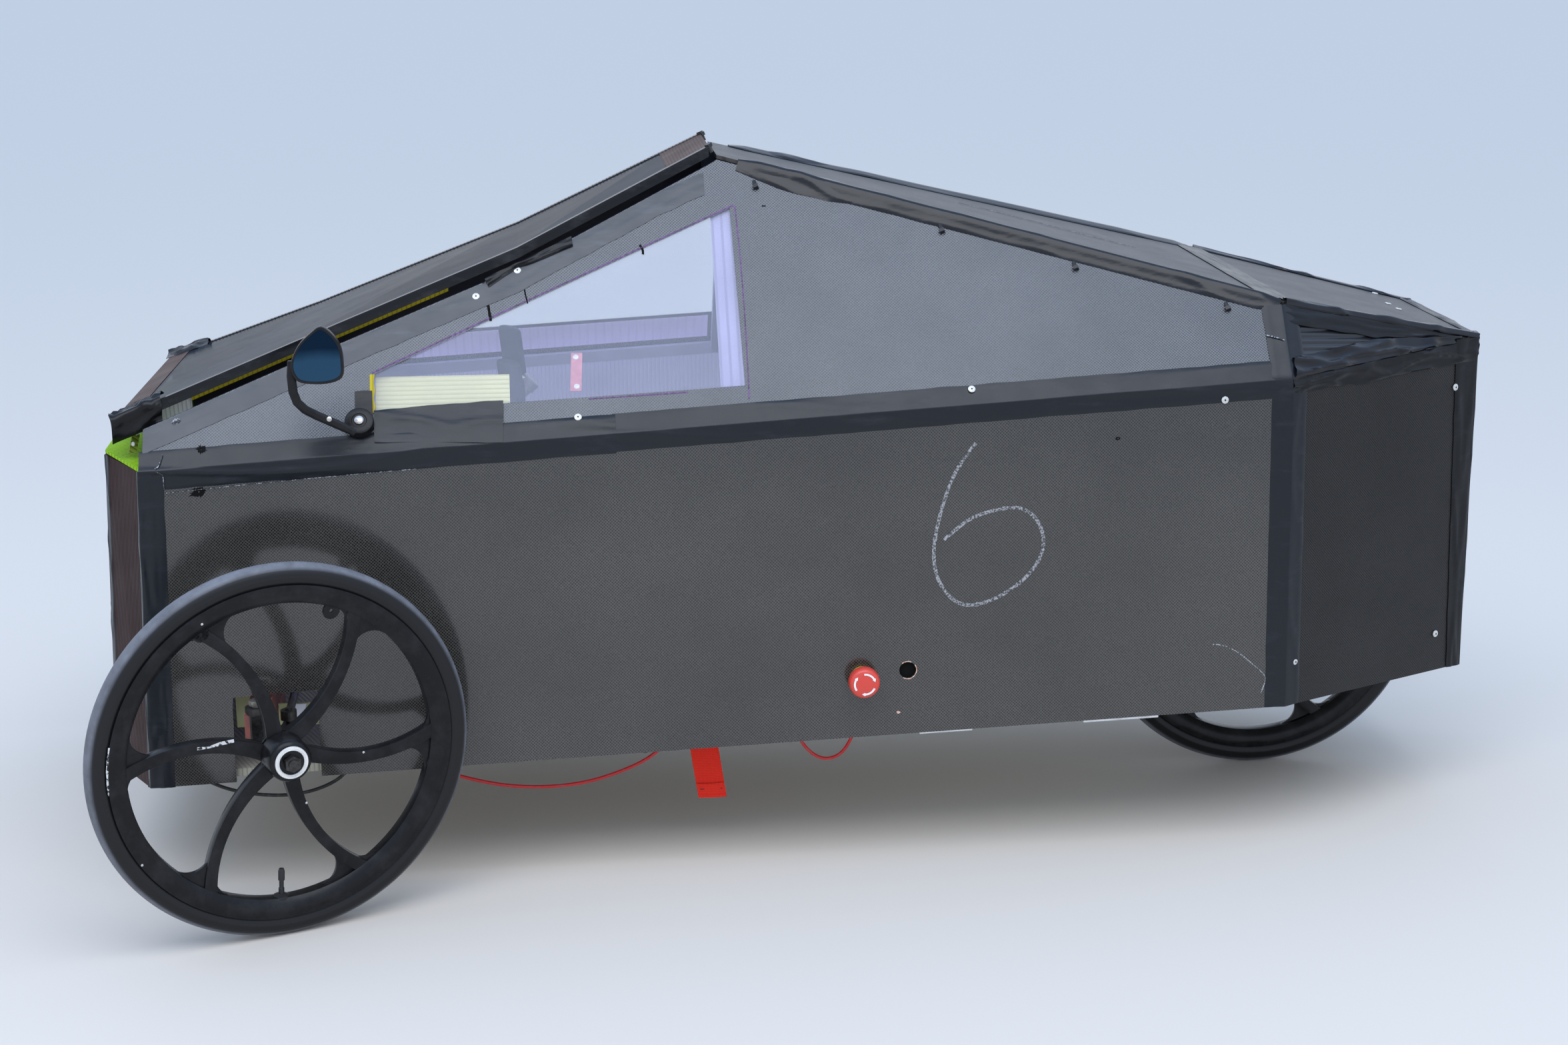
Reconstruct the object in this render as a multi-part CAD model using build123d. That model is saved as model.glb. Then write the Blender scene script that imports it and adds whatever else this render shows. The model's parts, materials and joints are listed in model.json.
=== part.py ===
from build123d import *
import math
import os

# A one-seat hydrogen car, hand-built from folded plastic sheet over a light frame, on three 20-inch
# wheels: two steered wheels outside the body at the front and one inside the tail.
# Millimetres. The nose points to -X, the car's left side to -Y, and the ground is Z = 0.
# X places are measured from the left front wheel's centre as it stands, with the steering turned a
# little to the left. MIDDLE_X moves every solid so that the origin is under the middle of the car.
MIDDLE_X = 642.4
SHEET = 4.0

# Body corners: the belt is the fold between the upright lower side and the leaning upper side
CORNER_X = -168.0
REAR_X = 1276.0
TAIL_X = 1578.0
CORNER_HALF_WIDTH = 316.0
REAR_HALF_WIDTH = 308.0
CORNER_BELT_Z = 548.0
REAR_BELT_Z = 621.0
CORNER_BOTTOM_X = -178.0
CORNER_BOTTOM_Z = 145.0
REAR_BOTTOM_Z = 190.0
LOWER_LEAN = 0.042
UPPER_LEAN = 0.7354

# Nose: a flat front between two chamfered corners
TIP_X = -225.0
TIP_HALF_WIDTH = 200.0
TIP_TOP_Z = 546.0
TIP_BOTTOM_X = -240.0
TIP_BOTTOM_HALF_WIDTH = 196.0
TIP_BOTTOM_Z = 134.0
NOSE_TOP_BACK_X = -96.0

# Roof line and tail
PEAK_X = 563.0
PEAK_Z = 895.0
DECK_SHEET = 5.0
DECK_REAR_Z = 711.0
TAIL_TOP_HALF_WIDTH = 142.0
TAIL_TOP_Z = 640.0
TAIL_BOTTOM_HALF_WIDTH = 136.0
TAIL_BOTTOM_Z = 176.0

# Upper side's top edge in front of the peak: x, z on the left, z on the right (hand-built, not quite even)
RAIL_STATIONS = (
    (-168.0, 594.0, 570.0),
    (0.0, 656.0, 633.0),
    (301.0, 766.0, 755.0),
    (558.0, 886.0, 886.0),
)

# Side window: x and z of its corners, cut along Y through the upper side
WINDOW_CORNERS = ((116.0, 606.0), (581.0, 627.0), (576.0, 831.0), (116.0, 648.0))
WINDOW_FILM = 1.5

# Floor
FLOOR_SHEET = 10.0
FLOOR_FRONT_X = -166.0
FLOOR_FRONT_Z = 150.0
FLOOR_RISE = 0.028
FLOOR_SIDE_GAP = 6.0
SLOT_FRONT_X = 1082.0
SLOT_HALF_WIDTH = 38.0

# Wheels: a 32-406 tyre is 470 across
WHEEL_RADIUS = 235.0
TYRE_HALF_WIDTH = 15.5
RIM_FLANGE_RADIUS = 210.5
RIM_SEAT_RADIUS = 203.0
RIM_INNER_RADIUS = 187.0
RIM_SEAT_HALF_WIDTH = 11.0
SPOKE_COUNT = 6
SPOKE_ARC_RADIUS = 190.0
SPOKE_START_RADIUS = 16.0
SPOKE_HALF_WIDTHS = (10.5, 7.0, 8.0)
SPOKE_THICKNESS = 15.0
WEB_THICKNESS = 5.0
WEB_TRIM = 1.5
WEB_RIM_FILLET = 26.0
WEB_HUB_FILLET = 6.0
HUB_RADIUS = 21.0
HUB_OUTBOARD = 44.0
HUB_INBOARD = 30.0
AXLE_RADIUS = 6.0
RUNNING_GAP = 0.1
REAR_AXLE_X = 1329.0

# Front axle and steering, turned by STEER from straight ahead
STEER = math.radians(21.5)
CAMBER = math.radians(1.6)
WHEEL_Y = -471.0
KINGPIN_REACH = 100.0
BEAM_WIDTH = 28.0
BEAM_HEIGHT = 34.0
ARM_LENGTH = 40.0
TIE_ROD_Z = 245.0
TIE_ROD_RADIUS = 5.0
NOTCH_FRONT_X = -72.0
NOTCH_BACK_X = 34.0
NOTCH_TOP_Z = 264.0

# Kingpins, the forks round the beam's ends, steering arms, stub axles and the tie rod
KINGPIN_RADIUS = 5.0
KINGPIN_ABOVE = 26.0
KINGPIN_BELOW = 28.0
BOLT_HEAD_RADIUS = 9.0
BOLT_HEAD = 7.0
BEAM_OVERHANG = 14.0
HANGER_Y = 180.0
HANGER_SIZE = (26.0, 40.0)
LUG = 6.0
LUG_GAP = 1.0
LUG_RADIUS = 14.0
FORK_WIDTH = 28.0
FORK_WEB_WIDTH = 34.0
FORK_WEB_NEAR = 29.0
FORK_WEB_FAR = 37.0
ARM_BEND = (14.0, 33.0)
ARM_SECTION = (12.0, 6.0)
ARM_DROP = 13.0
ARM_EYE_RADIUS = 8.0
ARM_STUD_RADIUS = 4.0
ARM_STUD_LENGTH = 22.0
AXLE_COLLAR_RADIUS = 10.0
AXLE_NUT_RADIUS = 10.5
AXLE_NUT = 7.0
AXLE_END = 9.0
ROD_EYE_RADIUS = 10.0
ROD_EYE_HEIGHT = 12.0

# Rear axle: two plates on the floor, each narrower at its top, and the shaft between them
PLATE_Y = 52.0
PLATE = 6.0
PLATE_FOOT_REACH = 60.0
PLATE_TOP_REACH = 22.0
PLATE_TOP_RISE = 82.0
REAR_AXLE_HALF_LENGTH = 62.0

# Stop button and the open switch hole beside it, on the left side
STOP_COLLAR_RADIUS = 15.0
STOP_COLLAR_DEPTH = 9.0
STOP_STEM_DEPTH = 24.0
STOP_NECK_RADIUS = 12.0
STOP_CAP_RADIUS = 20.0
STOP_CAP_NEAR = 15.0
STOP_CAP_FAR = 31.0
STOP_CAP_ROUND = 5.0
STOP_PLACE = (722.0, 252.0)
SWITCH_HOLE_PLACE = (781.0, 259.0)
PANEL_HOLE_RADIUS = 11.0

# Lid: x, half width and z of its side rails' tops, left and right, from the front corner to the peak
LID_STATIONS = (
    (-200.0, 272.0, 606.0, 586.0),
    (20.0, 226.0, 688.0, 667.0),
    (301.0, 163.0, 791.0, 781.0),
    (553.0, 88.0, 907.0, 907.0),
)
LID_RAIL = 14.0
LID_FRONT_STRIP = 30.0
LID_REAR_STRIP = 56.0
LID_BOARD = 5.0
LID_BOARD_GAP = 0.5
LID_CROSS_DROP = 6.6

# Inner frame tubes, seat and the plain block that stands for the power unit
FRAME_TUBE = 16.0
SEAT_X = 445.0
SEAT_LENGTH = 230.0
SEAT_WIDTH = 340.0
SEAT_CUSHION = 30.0
SEAT_BACK = 26.0
SEAT_BACK_FOOT_X = 560.0
SEAT_BACK_TOP = (742.0, 640.0)
POWER_UNIT_X = 930.0
POWER_UNIT_SIZE = (220.0, 330.0, 246.0)

# Tiller: the column's foot and top on the car's middle plane, and the sizes of what it carries
COLUMN_FOOT = Vector(176, 0, 196)
COLUMN_TOP = Vector(298, 0, 590)
COLUMN_RADIUS = 9.0
CLAMP_RADIUS = 15.0
CROSS_BAR_RADIUS = 8.0
CROSS_BAR_REACH = 112.0
GRIP_RADIUS = 14.7
POST_WIDTH = 60.0

# Bar-end mirror: where it stands on the upper side, its disc, arm bends and head (x, z of its corners)
MIRROR_PLACE = (101.0, 593.0)
MIRROR_DISC_RADIUS = 18.0
MIRROR_DISC_GAP = 0.9
MIRROR_DISC_HEIGHT = 16.0
MIRROR_ARM_RADIUS = 5.0
MIRROR_ARM_ROUND = 12.0
MIRROR_GLASS = 2.0
MIRROR_RECESS = 2.5
MIRROR_ARM_BENDS = ((38, -345, 622), (22, -358, 652), (27, -360, 690))
MIRROR_HEAD_Y = -352.0
MIRROR_HEAD_DEPTH = 14.0
MIRROR_HEAD_CORNERS = ((28, 668), (36, 698), (66, 726), (88, 722), (91, 664), (60, 654))
MIRROR_HEAD_MIDDLE = (62.0, 689.0)
MIRROR_GLASS_SHARE = 0.86

# Hose and cable routes below the floor: x, y, z of each bend
HOSE_RADIUS = 2.3
RED_HOSE_ROUTE = (
    (108, -240, 160), (130, -241, 141), (165, -243, 125), (212, -244, 109), (262, -243, 95.5), (318, -240, 90),
    (370, -238, 94), (415, -237, 107), (452, -238, 124), (476, -239, 147), (487, -240, 171),
)
RED_LOOP_ROUTE = (
    (640, -238, 175), (646, -239, 149), (660, -240, 126), (680, -242, 113), (702, -241, 117), (717, -239, 136),
    (724, -238, 160), (727, -238, 178),
)
BLACK_CABLE_ROUTE = (
    (-142, -278, 153), (-121, -279, 135), (-88, -281, 119.5), (-48, -282, 111), (-6, -281, 109),
    (32, -280, 117.5), (61, -279, 134.5), (78, -278, 159),
)

wheel_z = (WHEEL_RADIUS - TYRE_HALF_WIDTH) * math.cos(CAMBER) + TYRE_HALF_WIDTH
kingpin_x = -KINGPIN_REACH * math.sin(STEER)
kingpin_y = -WHEEL_Y - KINGPIN_REACH * math.cos(STEER)
kingpin_z = wheel_z + KINGPIN_REACH * math.sin(CAMBER)


def belt_half_width(x):
    share = (x - CORNER_X) / (REAR_X - CORNER_X)
    return CORNER_HALF_WIDTH + share * (REAR_HALF_WIDTH - CORNER_HALF_WIDTH)


def belt_z(x):
    share = (x - CORNER_X) / (REAR_X - CORNER_X)
    return CORNER_BELT_Z + share * (REAR_BELT_Z - CORNER_BELT_Z)


def floor_z(x):
    return FLOOR_FRONT_Z + FLOOR_RISE * (x - FLOOR_FRONT_X)


def side_point(x, z, side=-1):
    """A point on the outer face of the body's side, below or above the belt."""
    rise = z - belt_z(x)
    lean = UPPER_LEAN if rise > 0 else LOWER_LEAN
    return Vector(x, side * (belt_half_width(x) - rise * lean), z)


def mirrored(point):
    return Vector(point.X, -point.Y, point.Z)


def weld(solids):
    body = solids[0]
    for solid in solids[1:]:
        body = body + solid
    return body


def slab(corners, push):
    """Flat facets fanned from the first corner, each given its thickness by the push vector."""
    facets = []
    for second, third in zip(corners[1:], corners[2:]):
        face = Face(Wire.make_polygon([corners[0], second, third]))
        facets.append(extrude(face, amount=push.length, dir=push))
    return weld(facets)


def bar(start, end, width, height=None):
    """A straight bar of rectangular section between two points, with its height upwards."""
    along = (end - start).normalized()
    across = Vector(0, 0, 1).cross(along)
    if across.length < 0.01:
        across = Vector(0, 1, 0)
    plane = Plane(origin=start, x_dir=across, z_dir=along)
    section = plane * Rectangle(width, height or width)
    return extrude(section, amount=(end - start).length, dir=along)


def rod(start, end, radius):
    along = (end - start).normalized()
    return extrude(Plane(origin=start, z_dir=along) * Circle(radius), amount=(end - start).length)


def hose(points, radius, name):
    """A tube along straight runs joined by arcs as large as the runs allow."""
    places = [Vector(*point) for point in points]
    radii = []
    for before, here, after in zip(places, places[1:], places[2:]):
        turn = math.radians((here - before).get_angle(after - here))
        shorter = min((here - before).length, (after - here).length)
        radii.append(0.45 * shorter / math.tan(turn / 2))
    path = FilletPolyline(*places, radius=radii)
    tube = sweep(Plane(origin=places[0], z_dir=places[1] - places[0]) * Circle(radius), path=path)
    share = tube.volume / (math.pi * radius ** 2 * path.length)
    print(name, "length", round(path.length, 1), "smallest arc", round(min(radii), 1), round(share, 4))
    return tube


def write(name, shape):
    moved = shape.moved(Location((-MIDDLE_X, 0, 0)))
    moved.label = name
    export_step(moved, "parts/" + name + ".step")
    return moved.bounding_box()


def prism_along_y(corners, half_depth=400.0):
    outline = Face(Wire.make_polygon([Vector(x, -half_depth, z) for x, z in corners]))
    return extrude(outline, amount=2 * half_depth, dir=(0, 1, 0))


def body_panels():
    """The outer sheets, each a separate flat panel taped to its neighbours."""
    panels = {}
    inward = Vector(0, SHEET, 0)
    peak = side_point(PEAK_X, PEAK_Z)
    deck_corner = side_point(REAR_X, DECK_REAR_Z)
    tail_top = Vector(TAIL_X, -TAIL_TOP_HALF_WIDTH, TAIL_TOP_Z)
    tail_bottom = Vector(TAIL_X, -TAIL_BOTTOM_HALF_WIDTH, TAIL_BOTTOM_Z)
    rear_belt = side_point(REAR_X, REAR_BELT_Z)
    rear_bottom = side_point(REAR_X, REAR_BOTTOM_Z)

    # Lower sides, with the notch that the front axle passes through
    lower = slab([
        side_point(CORNER_BOTTOM_X + SHEET, CORNER_BOTTOM_Z), rear_bottom, rear_belt,
        side_point(CORNER_X + SHEET, belt_z(CORNER_X + SHEET)),
    ], inward)
    lower -= prism_along_y((
        (NOTCH_FRONT_X, 0), (NOTCH_BACK_X, 0), (NOTCH_BACK_X, NOTCH_TOP_Z), (NOTCH_FRONT_X, NOTCH_TOP_Z - 6)))
    panels["lower_side_right"] = mirror(lower, about=Plane.XZ)
    for x, z in (STOP_PLACE, SWITCH_HOLE_PLACE):
        lower -= rod(Vector(x, -400, z), Vector(x, -200, z), PANEL_HOLE_RADIUS)
    panels["lower_side_left"] = lower

    # Upper sides and their window film
    window = prism_along_y(WINDOW_CORNERS)
    for side, column, name in ((-1, 1, "left"), (1, 2, "right")):
        edge = [side_point(station[0], station[column], side) for station in RAIL_STATIONS]
        edge[0] = side_point(CORNER_X + SHEET, edge[0].Z, side)
        deck_edge = [
            side_point(PEAK_X, PEAK_Z - DECK_SHEET - 1, side),
            side_point(REAR_X, DECK_REAR_Z - DECK_SHEET, side)]
        outline = [
            side_point(REAR_X, REAR_BELT_Z, side), side_point(CORNER_X + SHEET, belt_z(CORNER_X + SHEET), side),
            *edge, *deck_edge]
        upper = slab(outline, Vector(0, -side * SHEET, 0))
        film = slab(outline, Vector(0, -side * WINDOW_FILM, 0)).moved(Location((0, -side * 1.2, 0)))
        panels["side_window_" + name] = film & window
        panels["upper_side_" + name] = upper - window

    # Nose: chamfered front in one folded sheet, and the flat top behind it
    tip_top = Vector(TIP_X, -TIP_HALF_WIDTH, TIP_TOP_Z)
    tip_bottom = Vector(TIP_BOTTOM_X, -TIP_BOTTOM_HALF_WIDTH, TIP_BOTTOM_Z)
    corner_top = side_point(CORNER_X, CORNER_BELT_Z)
    corner_bottom = side_point(CORNER_BOTTOM_X, CORNER_BOTTOM_Z)
    back = Vector(SHEET, 0, 0)
    chamfer = slab([tip_top, tip_bottom, corner_bottom, corner_top], back)
    front = slab([tip_top, tip_bottom, mirrored(tip_bottom), mirrored(tip_top)], back)
    panels["nose_front"] = weld([front, chamfer, mirror(chamfer, about=Plane.XZ)])
    panels["nose_top"] = nose_top(tip_top, corner_top)

    # Deck from the peak to the rear corner, then down to the tail end
    down = Vector(0, 0, -DECK_SHEET)
    panels["rear_deck"] = slab([peak, deck_corner, mirrored(deck_corner), mirrored(peak)], down)
    panels["tail_deck"] = slab([deck_corner, tail_top, mirrored(tail_top), mirrored(deck_corner)], down)

    # Tail sides below the fold from the belt's end to the tail's top corner, and the strips above it
    tail_lip = tail_top + down
    side_end = tail_lip + (rear_belt - tail_lip) * (SHEET / (TAIL_X - REAR_X))
    bottom_end = tail_bottom + (rear_bottom - tail_bottom) * (SHEET / (TAIL_X - REAR_X))
    # Both ends of this panel are upright but not parallel, so it is one sheet with a slight twist
    ends = [
        Wire.make_polygon([low, high, high + inward, low + inward])
        for low, high in ((rear_bottom, rear_belt), (bottom_end, side_end))]
    tail_side = Solid.make_loft(ends, ruled=True)
    panels["tail_side_left"] = tail_side
    panels["tail_side_right"] = mirror(tail_side, about=Plane.XZ)
    strip = slab([rear_belt, side_end, deck_corner + down], inward)
    panels["tail_uppers"] = Compound(children=[strip, mirror(strip, about=Plane.XZ)])
    panels["tail_end"] = slab([
        tail_lip, tail_bottom, mirrored(tail_bottom), mirrored(tail_lip)], Vector(-SHEET, 0, 0))
    return panels


def nose_top(tip, corner):
    """The flat sheet between the nose's top edge and the lid's front edge, tucked in behind the corners."""
    inset = 2 * SHEET + 1
    inner = Vector(CORNER_X + SHEET + 1, corner.Y + inset, 0)
    back = Vector(NOSE_TOP_BACK_X, -belt_half_width(NOSE_TOP_BACK_X) + inset, 0)
    half = [Vector(point.X, point.Y, CORNER_BELT_Z + 0.2) for point in (tip, corner, inner, back)]
    outline = half + [mirrored(point) for point in reversed(half)]
    return extrude(Face(Wire.make_polygon(outline)), amount=SHEET, dir=(0, 0, 1))


def floor_pan():
    """Flat floor inside the lower sides, slotted for the rear wheel."""
    def edge(x, inset=FLOOR_SIDE_GAP):
        z = floor_z(x)
        return side_point(x, z) + Vector(0, inset, 0)

    tail_share = (TAIL_X - SHEET - 3 - REAR_X) / (TAIL_X - REAR_X)
    tail_y = -(belt_half_width(REAR_X) + 18 + tail_share * (TAIL_BOTTOM_HALF_WIDTH - REAR_HALF_WIDTH - 18)) + 9
    tail = Vector(TAIL_X - SHEET - 3, tail_y, floor_z(TAIL_X - SHEET - 3))
    nose = Vector(TIP_X + 4, -TIP_HALF_WIDTH + 12, floor_z(TIP_X + 4))
    corner = edge(FLOOR_FRONT_X, 9)
    rear = edge(REAR_X, 7)
    outline = [nose, corner, rear, tail, mirrored(tail), mirrored(rear), mirrored(corner), mirrored(nose)]
    pan = extrude(Face(Wire.make_polygon(outline)), amount=FLOOR_SHEET, dir=(0, 0, 1))
    slot = Pos((SLOT_FRONT_X + TAIL_X) / 2, 0, 190) * Box(TAIL_X - SLOT_FRONT_X, 2 * SLOT_HALF_WIDTH, 100)
    return pan - slot


def floor_strips():
    """Short aluminium strips under the floor's edge on both sides: x from, x to."""
    strips = []
    for first_x, last_x in ((797.0, 866.0), (1012.0, 1111.0)):
        ends = []
        for x in (first_x, last_x):
            outer = side_point(x, floor_z(x)).Y + FLOOR_SIDE_GAP + 1
            ends.append((Vector(x, outer, floor_z(x)), Vector(x, outer + 30, floor_z(x))))
        strip = slab([ends[0][0], ends[1][0], ends[1][1], ends[0][1]], Vector(0, 0, -6))
        strips += [strip, mirror(strip, about=Plane.XZ)]
    return Compound(children=strips)


def body_frame():
    """Square tubes behind the folds: floor posts, belt rails, the arch under the peak and the rear arch."""
    size = FRAME_TUBE
    reach = size / 2 + SHEET + 5
    bars = []
    for side in (-1, 1):
        inset = Vector(0, -side * reach, 0)
        below = Vector(0, 0, -14)
        rail_x = (CORNER_X + 16, PEAK_X + 22, REAR_X - 18)
        rail = [side_point(x, belt_z(x), side) + inset + below for x in rail_x]
        foot = [side_point(x, floor_z(x) + FLOOR_SHEET, side) + inset for x in (CORNER_X + 12, REAR_X - 18)]
        arch = side_point(PEAK_X + 22, PEAK_Z - 40, side) + Vector(0, -side * 18, 0)
        hoop = side_point(REAR_X - 18, DECK_REAR_Z - 26, side) + Vector(0, -side * 20, 0)
        bars += [bar(rail[0], rail[2], size), bar(foot[0], rail[0], size), bar(foot[1], rail[2], size)]
        bars += [bar(rail[1], arch, size), bar(rail[2], hoop, size)]
        bars += [bar(arch, Vector(arch.X, 0, arch.Z), size), bar(hoop, Vector(hoop.X, 0, hoop.Z), size)]
    return weld(bars)


def tyre():
    """Slick tyre about the Y axis, its beads between the rim's flanges."""
    centre = WHEEL_RADIUS - TYRE_HALF_WIDTH
    foot = math.sqrt(TYRE_HALF_WIDTH ** 2 - (centre - RIM_FLANGE_RADIUS) ** 2)
    with BuildSketch(Plane.XY) as section:
        with BuildLine():
            ThreePointArc((RIM_FLANGE_RADIUS, foot), (WHEEL_RADIUS, 0), (RIM_FLANGE_RADIUS, -foot))
            Polyline(
                (RIM_FLANGE_RADIUS, -foot), (RIM_FLANGE_RADIUS, -RIM_SEAT_HALF_WIDTH),
                (RIM_SEAT_RADIUS, -RIM_SEAT_HALF_WIDTH), (RIM_SEAT_RADIUS, RIM_SEAT_HALF_WIDTH),
                (RIM_FLANGE_RADIUS, RIM_SEAT_HALF_WIDTH), (RIM_FLANGE_RADIUS, foot))
        make_face()
    return revolve(section.sketch, axis=Axis.Y)


def spoke_outline(trim=0.0):
    """One curved spoke, wide at the hub, narrow at its middle, in the XZ plane seen from outboard."""
    reach = RIM_INNER_RADIUS + 6
    chord = reach - SPOKE_START_RADIUS
    rise = math.sqrt(SPOKE_ARC_RADIUS ** 2 - (chord / 2) ** 2)
    centre = (SPOKE_START_RADIUS + chord / 2, rise)
    edges = []
    for sign in (-1, 1):
        edge = []
        for share, half_width in zip((0, 0.5, 1), SPOKE_HALF_WIDTHS):
            angle = math.atan2(-rise, (share - 0.5) * chord)
            radius = SPOKE_ARC_RADIUS + sign * (half_width - trim)
            edge.append((centre[0] + radius * math.cos(angle), centre[1] + radius * math.sin(angle)))
        edges.append(edge)
    inner, outer = edges
    with BuildSketch(Plane.XZ) as outline:
        with BuildLine():
            ThreePointArc(*inner)
            Line(inner[2], outer[2])
            ThreePointArc(*outer)
            Line(outer[0], inner[0])
        make_face()
    return outline.sketch


def webs():
    """A thin plate that fills the corners where the spokes meet the rim and the hub."""
    outlines = [Rot(0, turn * 360 / SPOKE_COUNT, 0) * spoke_outline(WEB_TRIM) for turn in range(SPOKE_COUNT)]
    disc = Plane.XZ * Circle(RIM_INNER_RADIUS + 10) - Plane.XZ * Circle(RIM_INNER_RADIUS)
    sheet = weld([disc, Plane.XZ * Circle(HUB_RADIUS + 6), *outlines])
    for reach, radius in ((RIM_INNER_RADIUS, WEB_RIM_FILLET), (HUB_RADIUS + 6, WEB_HUB_FILLET)):
        corners = [point for point in sheet.vertices() if abs(math.hypot(point.X, point.Z) - reach) < 0.1]
        sheet = fillet(corners, radius)
    return extrude(sheet, amount=WEB_THICKNESS / 2, both=True)


def rim(outboard, inboard):
    """Moulded rim, curved spokes and hub about the Y axis; outboard is towards -Y."""
    with BuildSketch(Plane.XY) as section:
        with BuildLine():
            Polyline(
                (RIM_INNER_RADIUS, -8), (RIM_INNER_RADIUS + 8, -13), (RIM_INNER_RADIUS + 14, -TYRE_HALF_WIDTH),
                (RIM_FLANGE_RADIUS, -TYRE_HALF_WIDTH), (RIM_FLANGE_RADIUS, -RIM_SEAT_HALF_WIDTH),
                (RIM_SEAT_RADIUS, -RIM_SEAT_HALF_WIDTH), (RIM_SEAT_RADIUS, RIM_SEAT_HALF_WIDTH),
                (RIM_FLANGE_RADIUS, RIM_SEAT_HALF_WIDTH), (RIM_FLANGE_RADIUS, TYRE_HALF_WIDTH),
                (RIM_INNER_RADIUS + 14, TYRE_HALF_WIDTH), (RIM_INNER_RADIUS + 8, 13), (RIM_INNER_RADIUS, 8),
                close=True)
        make_face()
    hoop = revolve(section.sketch, axis=Axis.Y)
    hub = rod(Vector(0, -outboard, 0), Vector(0, inboard, 0), HUB_RADIUS)
    bore = rod(Vector(0, -outboard - 1, 0), Vector(0, inboard + 1, 0), AXLE_RADIUS + RUNNING_GAP)
    arm = extrude(spoke_outline(), amount=SPOKE_THICKNESS / 2, both=True)
    arms = [Rot(0, turn * 360 / SPOKE_COUNT, 0) * arm for turn in range(SPOKE_COUNT)]
    return weld([hoop, hub, webs(), *arms]) - bore


def rear_hub():
    """Barrel pressed into the rear rim, as wide on both sides."""
    barrel = rod(Vector(0, -HUB_OUTBOARD, 0), Vector(0, HUB_OUTBOARD, 0), HUB_RADIUS)
    return barrel - rod(Vector(0, -HUB_OUTBOARD, 0), Vector(0, HUB_OUTBOARD, 0), AXLE_RADIUS + RUNNING_GAP)


def placed_left(shape):
    """From the wheel's own frame to the left front wheel as it stands."""
    tilt = Rot(math.degrees(CAMBER), 0, 0)
    turn = Rot(0, 0, math.degrees(STEER))
    return Pos(0, WHEEL_Y, wheel_z) * turn * tilt * shape


def placed_right(shape):
    """The left wheel's mirror image, steered the same way round."""
    flipped = mirror(shape, about=Plane.XZ)
    tilt = Rot(-math.degrees(CAMBER), 0, 0)
    turn = Rot(0, 0, math.degrees(STEER))
    centre_x = kingpin_x - KINGPIN_REACH * math.sin(STEER)
    return Pos(centre_x, -WHEEL_Y, wheel_z) * turn * tilt * flipped


def knuckle(side):
    """Fork round the beam's end, stub axle and steering arm; built straight ahead about the kingpin."""
    half_height = BEAM_HEIGHT / 2 + LUG_GAP + LUG
    web_middle = side * (FORK_WEB_NEAR + FORK_WEB_FAR) / 2
    web = Pos(0, web_middle, 0) * Box(FORK_WEB_WIDTH, FORK_WEB_FAR - FORK_WEB_NEAR, 2 * half_height)
    fork = [web]
    for level in (-1, 1):
        height = level * (half_height - LUG / 2)
        tongue = Pos(0, side * FORK_WEB_NEAR / 2, height) * Box(FORK_WIDTH, FORK_WEB_NEAR + 2, LUG)
        fork += [tongue, Pos(0, 0, height) * Cylinder(LUG_RADIUS, LUG)]
    # Steering arm outside the beam, its pin straight behind the kingpin
    arm_z = TIE_ROD_Z - kingpin_z - ARM_DROP
    bend = Vector(ARM_BEND[0], side * ARM_BEND[1], arm_z)
    pin = Vector(ARM_LENGTH, 0, arm_z)
    arm = [bar(bend, pin, *ARM_SECTION), Pos(pin.X, pin.Y, arm_z) * Cylinder(ARM_EYE_RADIUS, ARM_SECTION[1])]
    stud = rod(pin, pin + Vector(0, 0, ARM_STUD_LENGTH), ARM_STUD_RADIUS)
    body = weld(fork + arm + [stud])
    body -= rod(Vector(0, 0, -2 * half_height), Vector(0, 0, 2 * half_height), KINGPIN_RADIUS + RUNNING_GAP)
    # Stub axle: collar up to the hub, thin shaft through it and a nut outside
    axle_tilt = Rot(-side * math.degrees(CAMBER), 0, 0)
    root = Vector(0, side * (FORK_WEB_FAR - 3), 0)
    hub_near = KINGPIN_REACH - HUB_INBOARD - 1
    hub_far = KINGPIN_REACH + HUB_OUTBOARD + 1
    collar = rod(root, Vector(0, side * hub_near, 0), AXLE_COLLAR_RADIUS)
    shaft = rod(root, Vector(0, side * (hub_far + AXLE_END), 0), AXLE_RADIUS)
    nut_plane = Plane(origin=(0, side * hub_far, 0), z_dir=(0, side, 0))
    nut = extrude(nut_plane * RegularPolygon(AXLE_NUT_RADIUS, 6), amount=AXLE_NUT)
    body = weld([body, axle_tilt * weld([collar, shaft, nut])])
    return Pos(kingpin_x, side * kingpin_y, kingpin_z) * Rot(0, 0, math.degrees(STEER)) * body


def axle_beam():
    """Square beam across the body, bored for the kingpins, on two upright hangers."""
    beam = Pos(kingpin_x, 0, kingpin_z) * Box(BEAM_WIDTH, 2 * (kingpin_y + BEAM_OVERHANG), BEAM_HEIGHT)
    for side in (-1, 1):
        at = Vector(kingpin_x, side * kingpin_y, 0)
        beam -= rod(at, at + Vector(0, 0, 2 * kingpin_z), KINGPIN_RADIUS + RUNNING_GAP / 2)
    base = floor_z(kingpin_x) + FLOOR_SHEET
    height = kingpin_z - BEAM_HEIGHT / 2 - base
    hangers = [
        Pos(kingpin_x, side * HANGER_Y, base + height / 2 + 0.3) * Box(*HANGER_SIZE, height + 0.2)
        for side in (-1, 1)]
    return weld([beam, *hangers])


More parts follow.
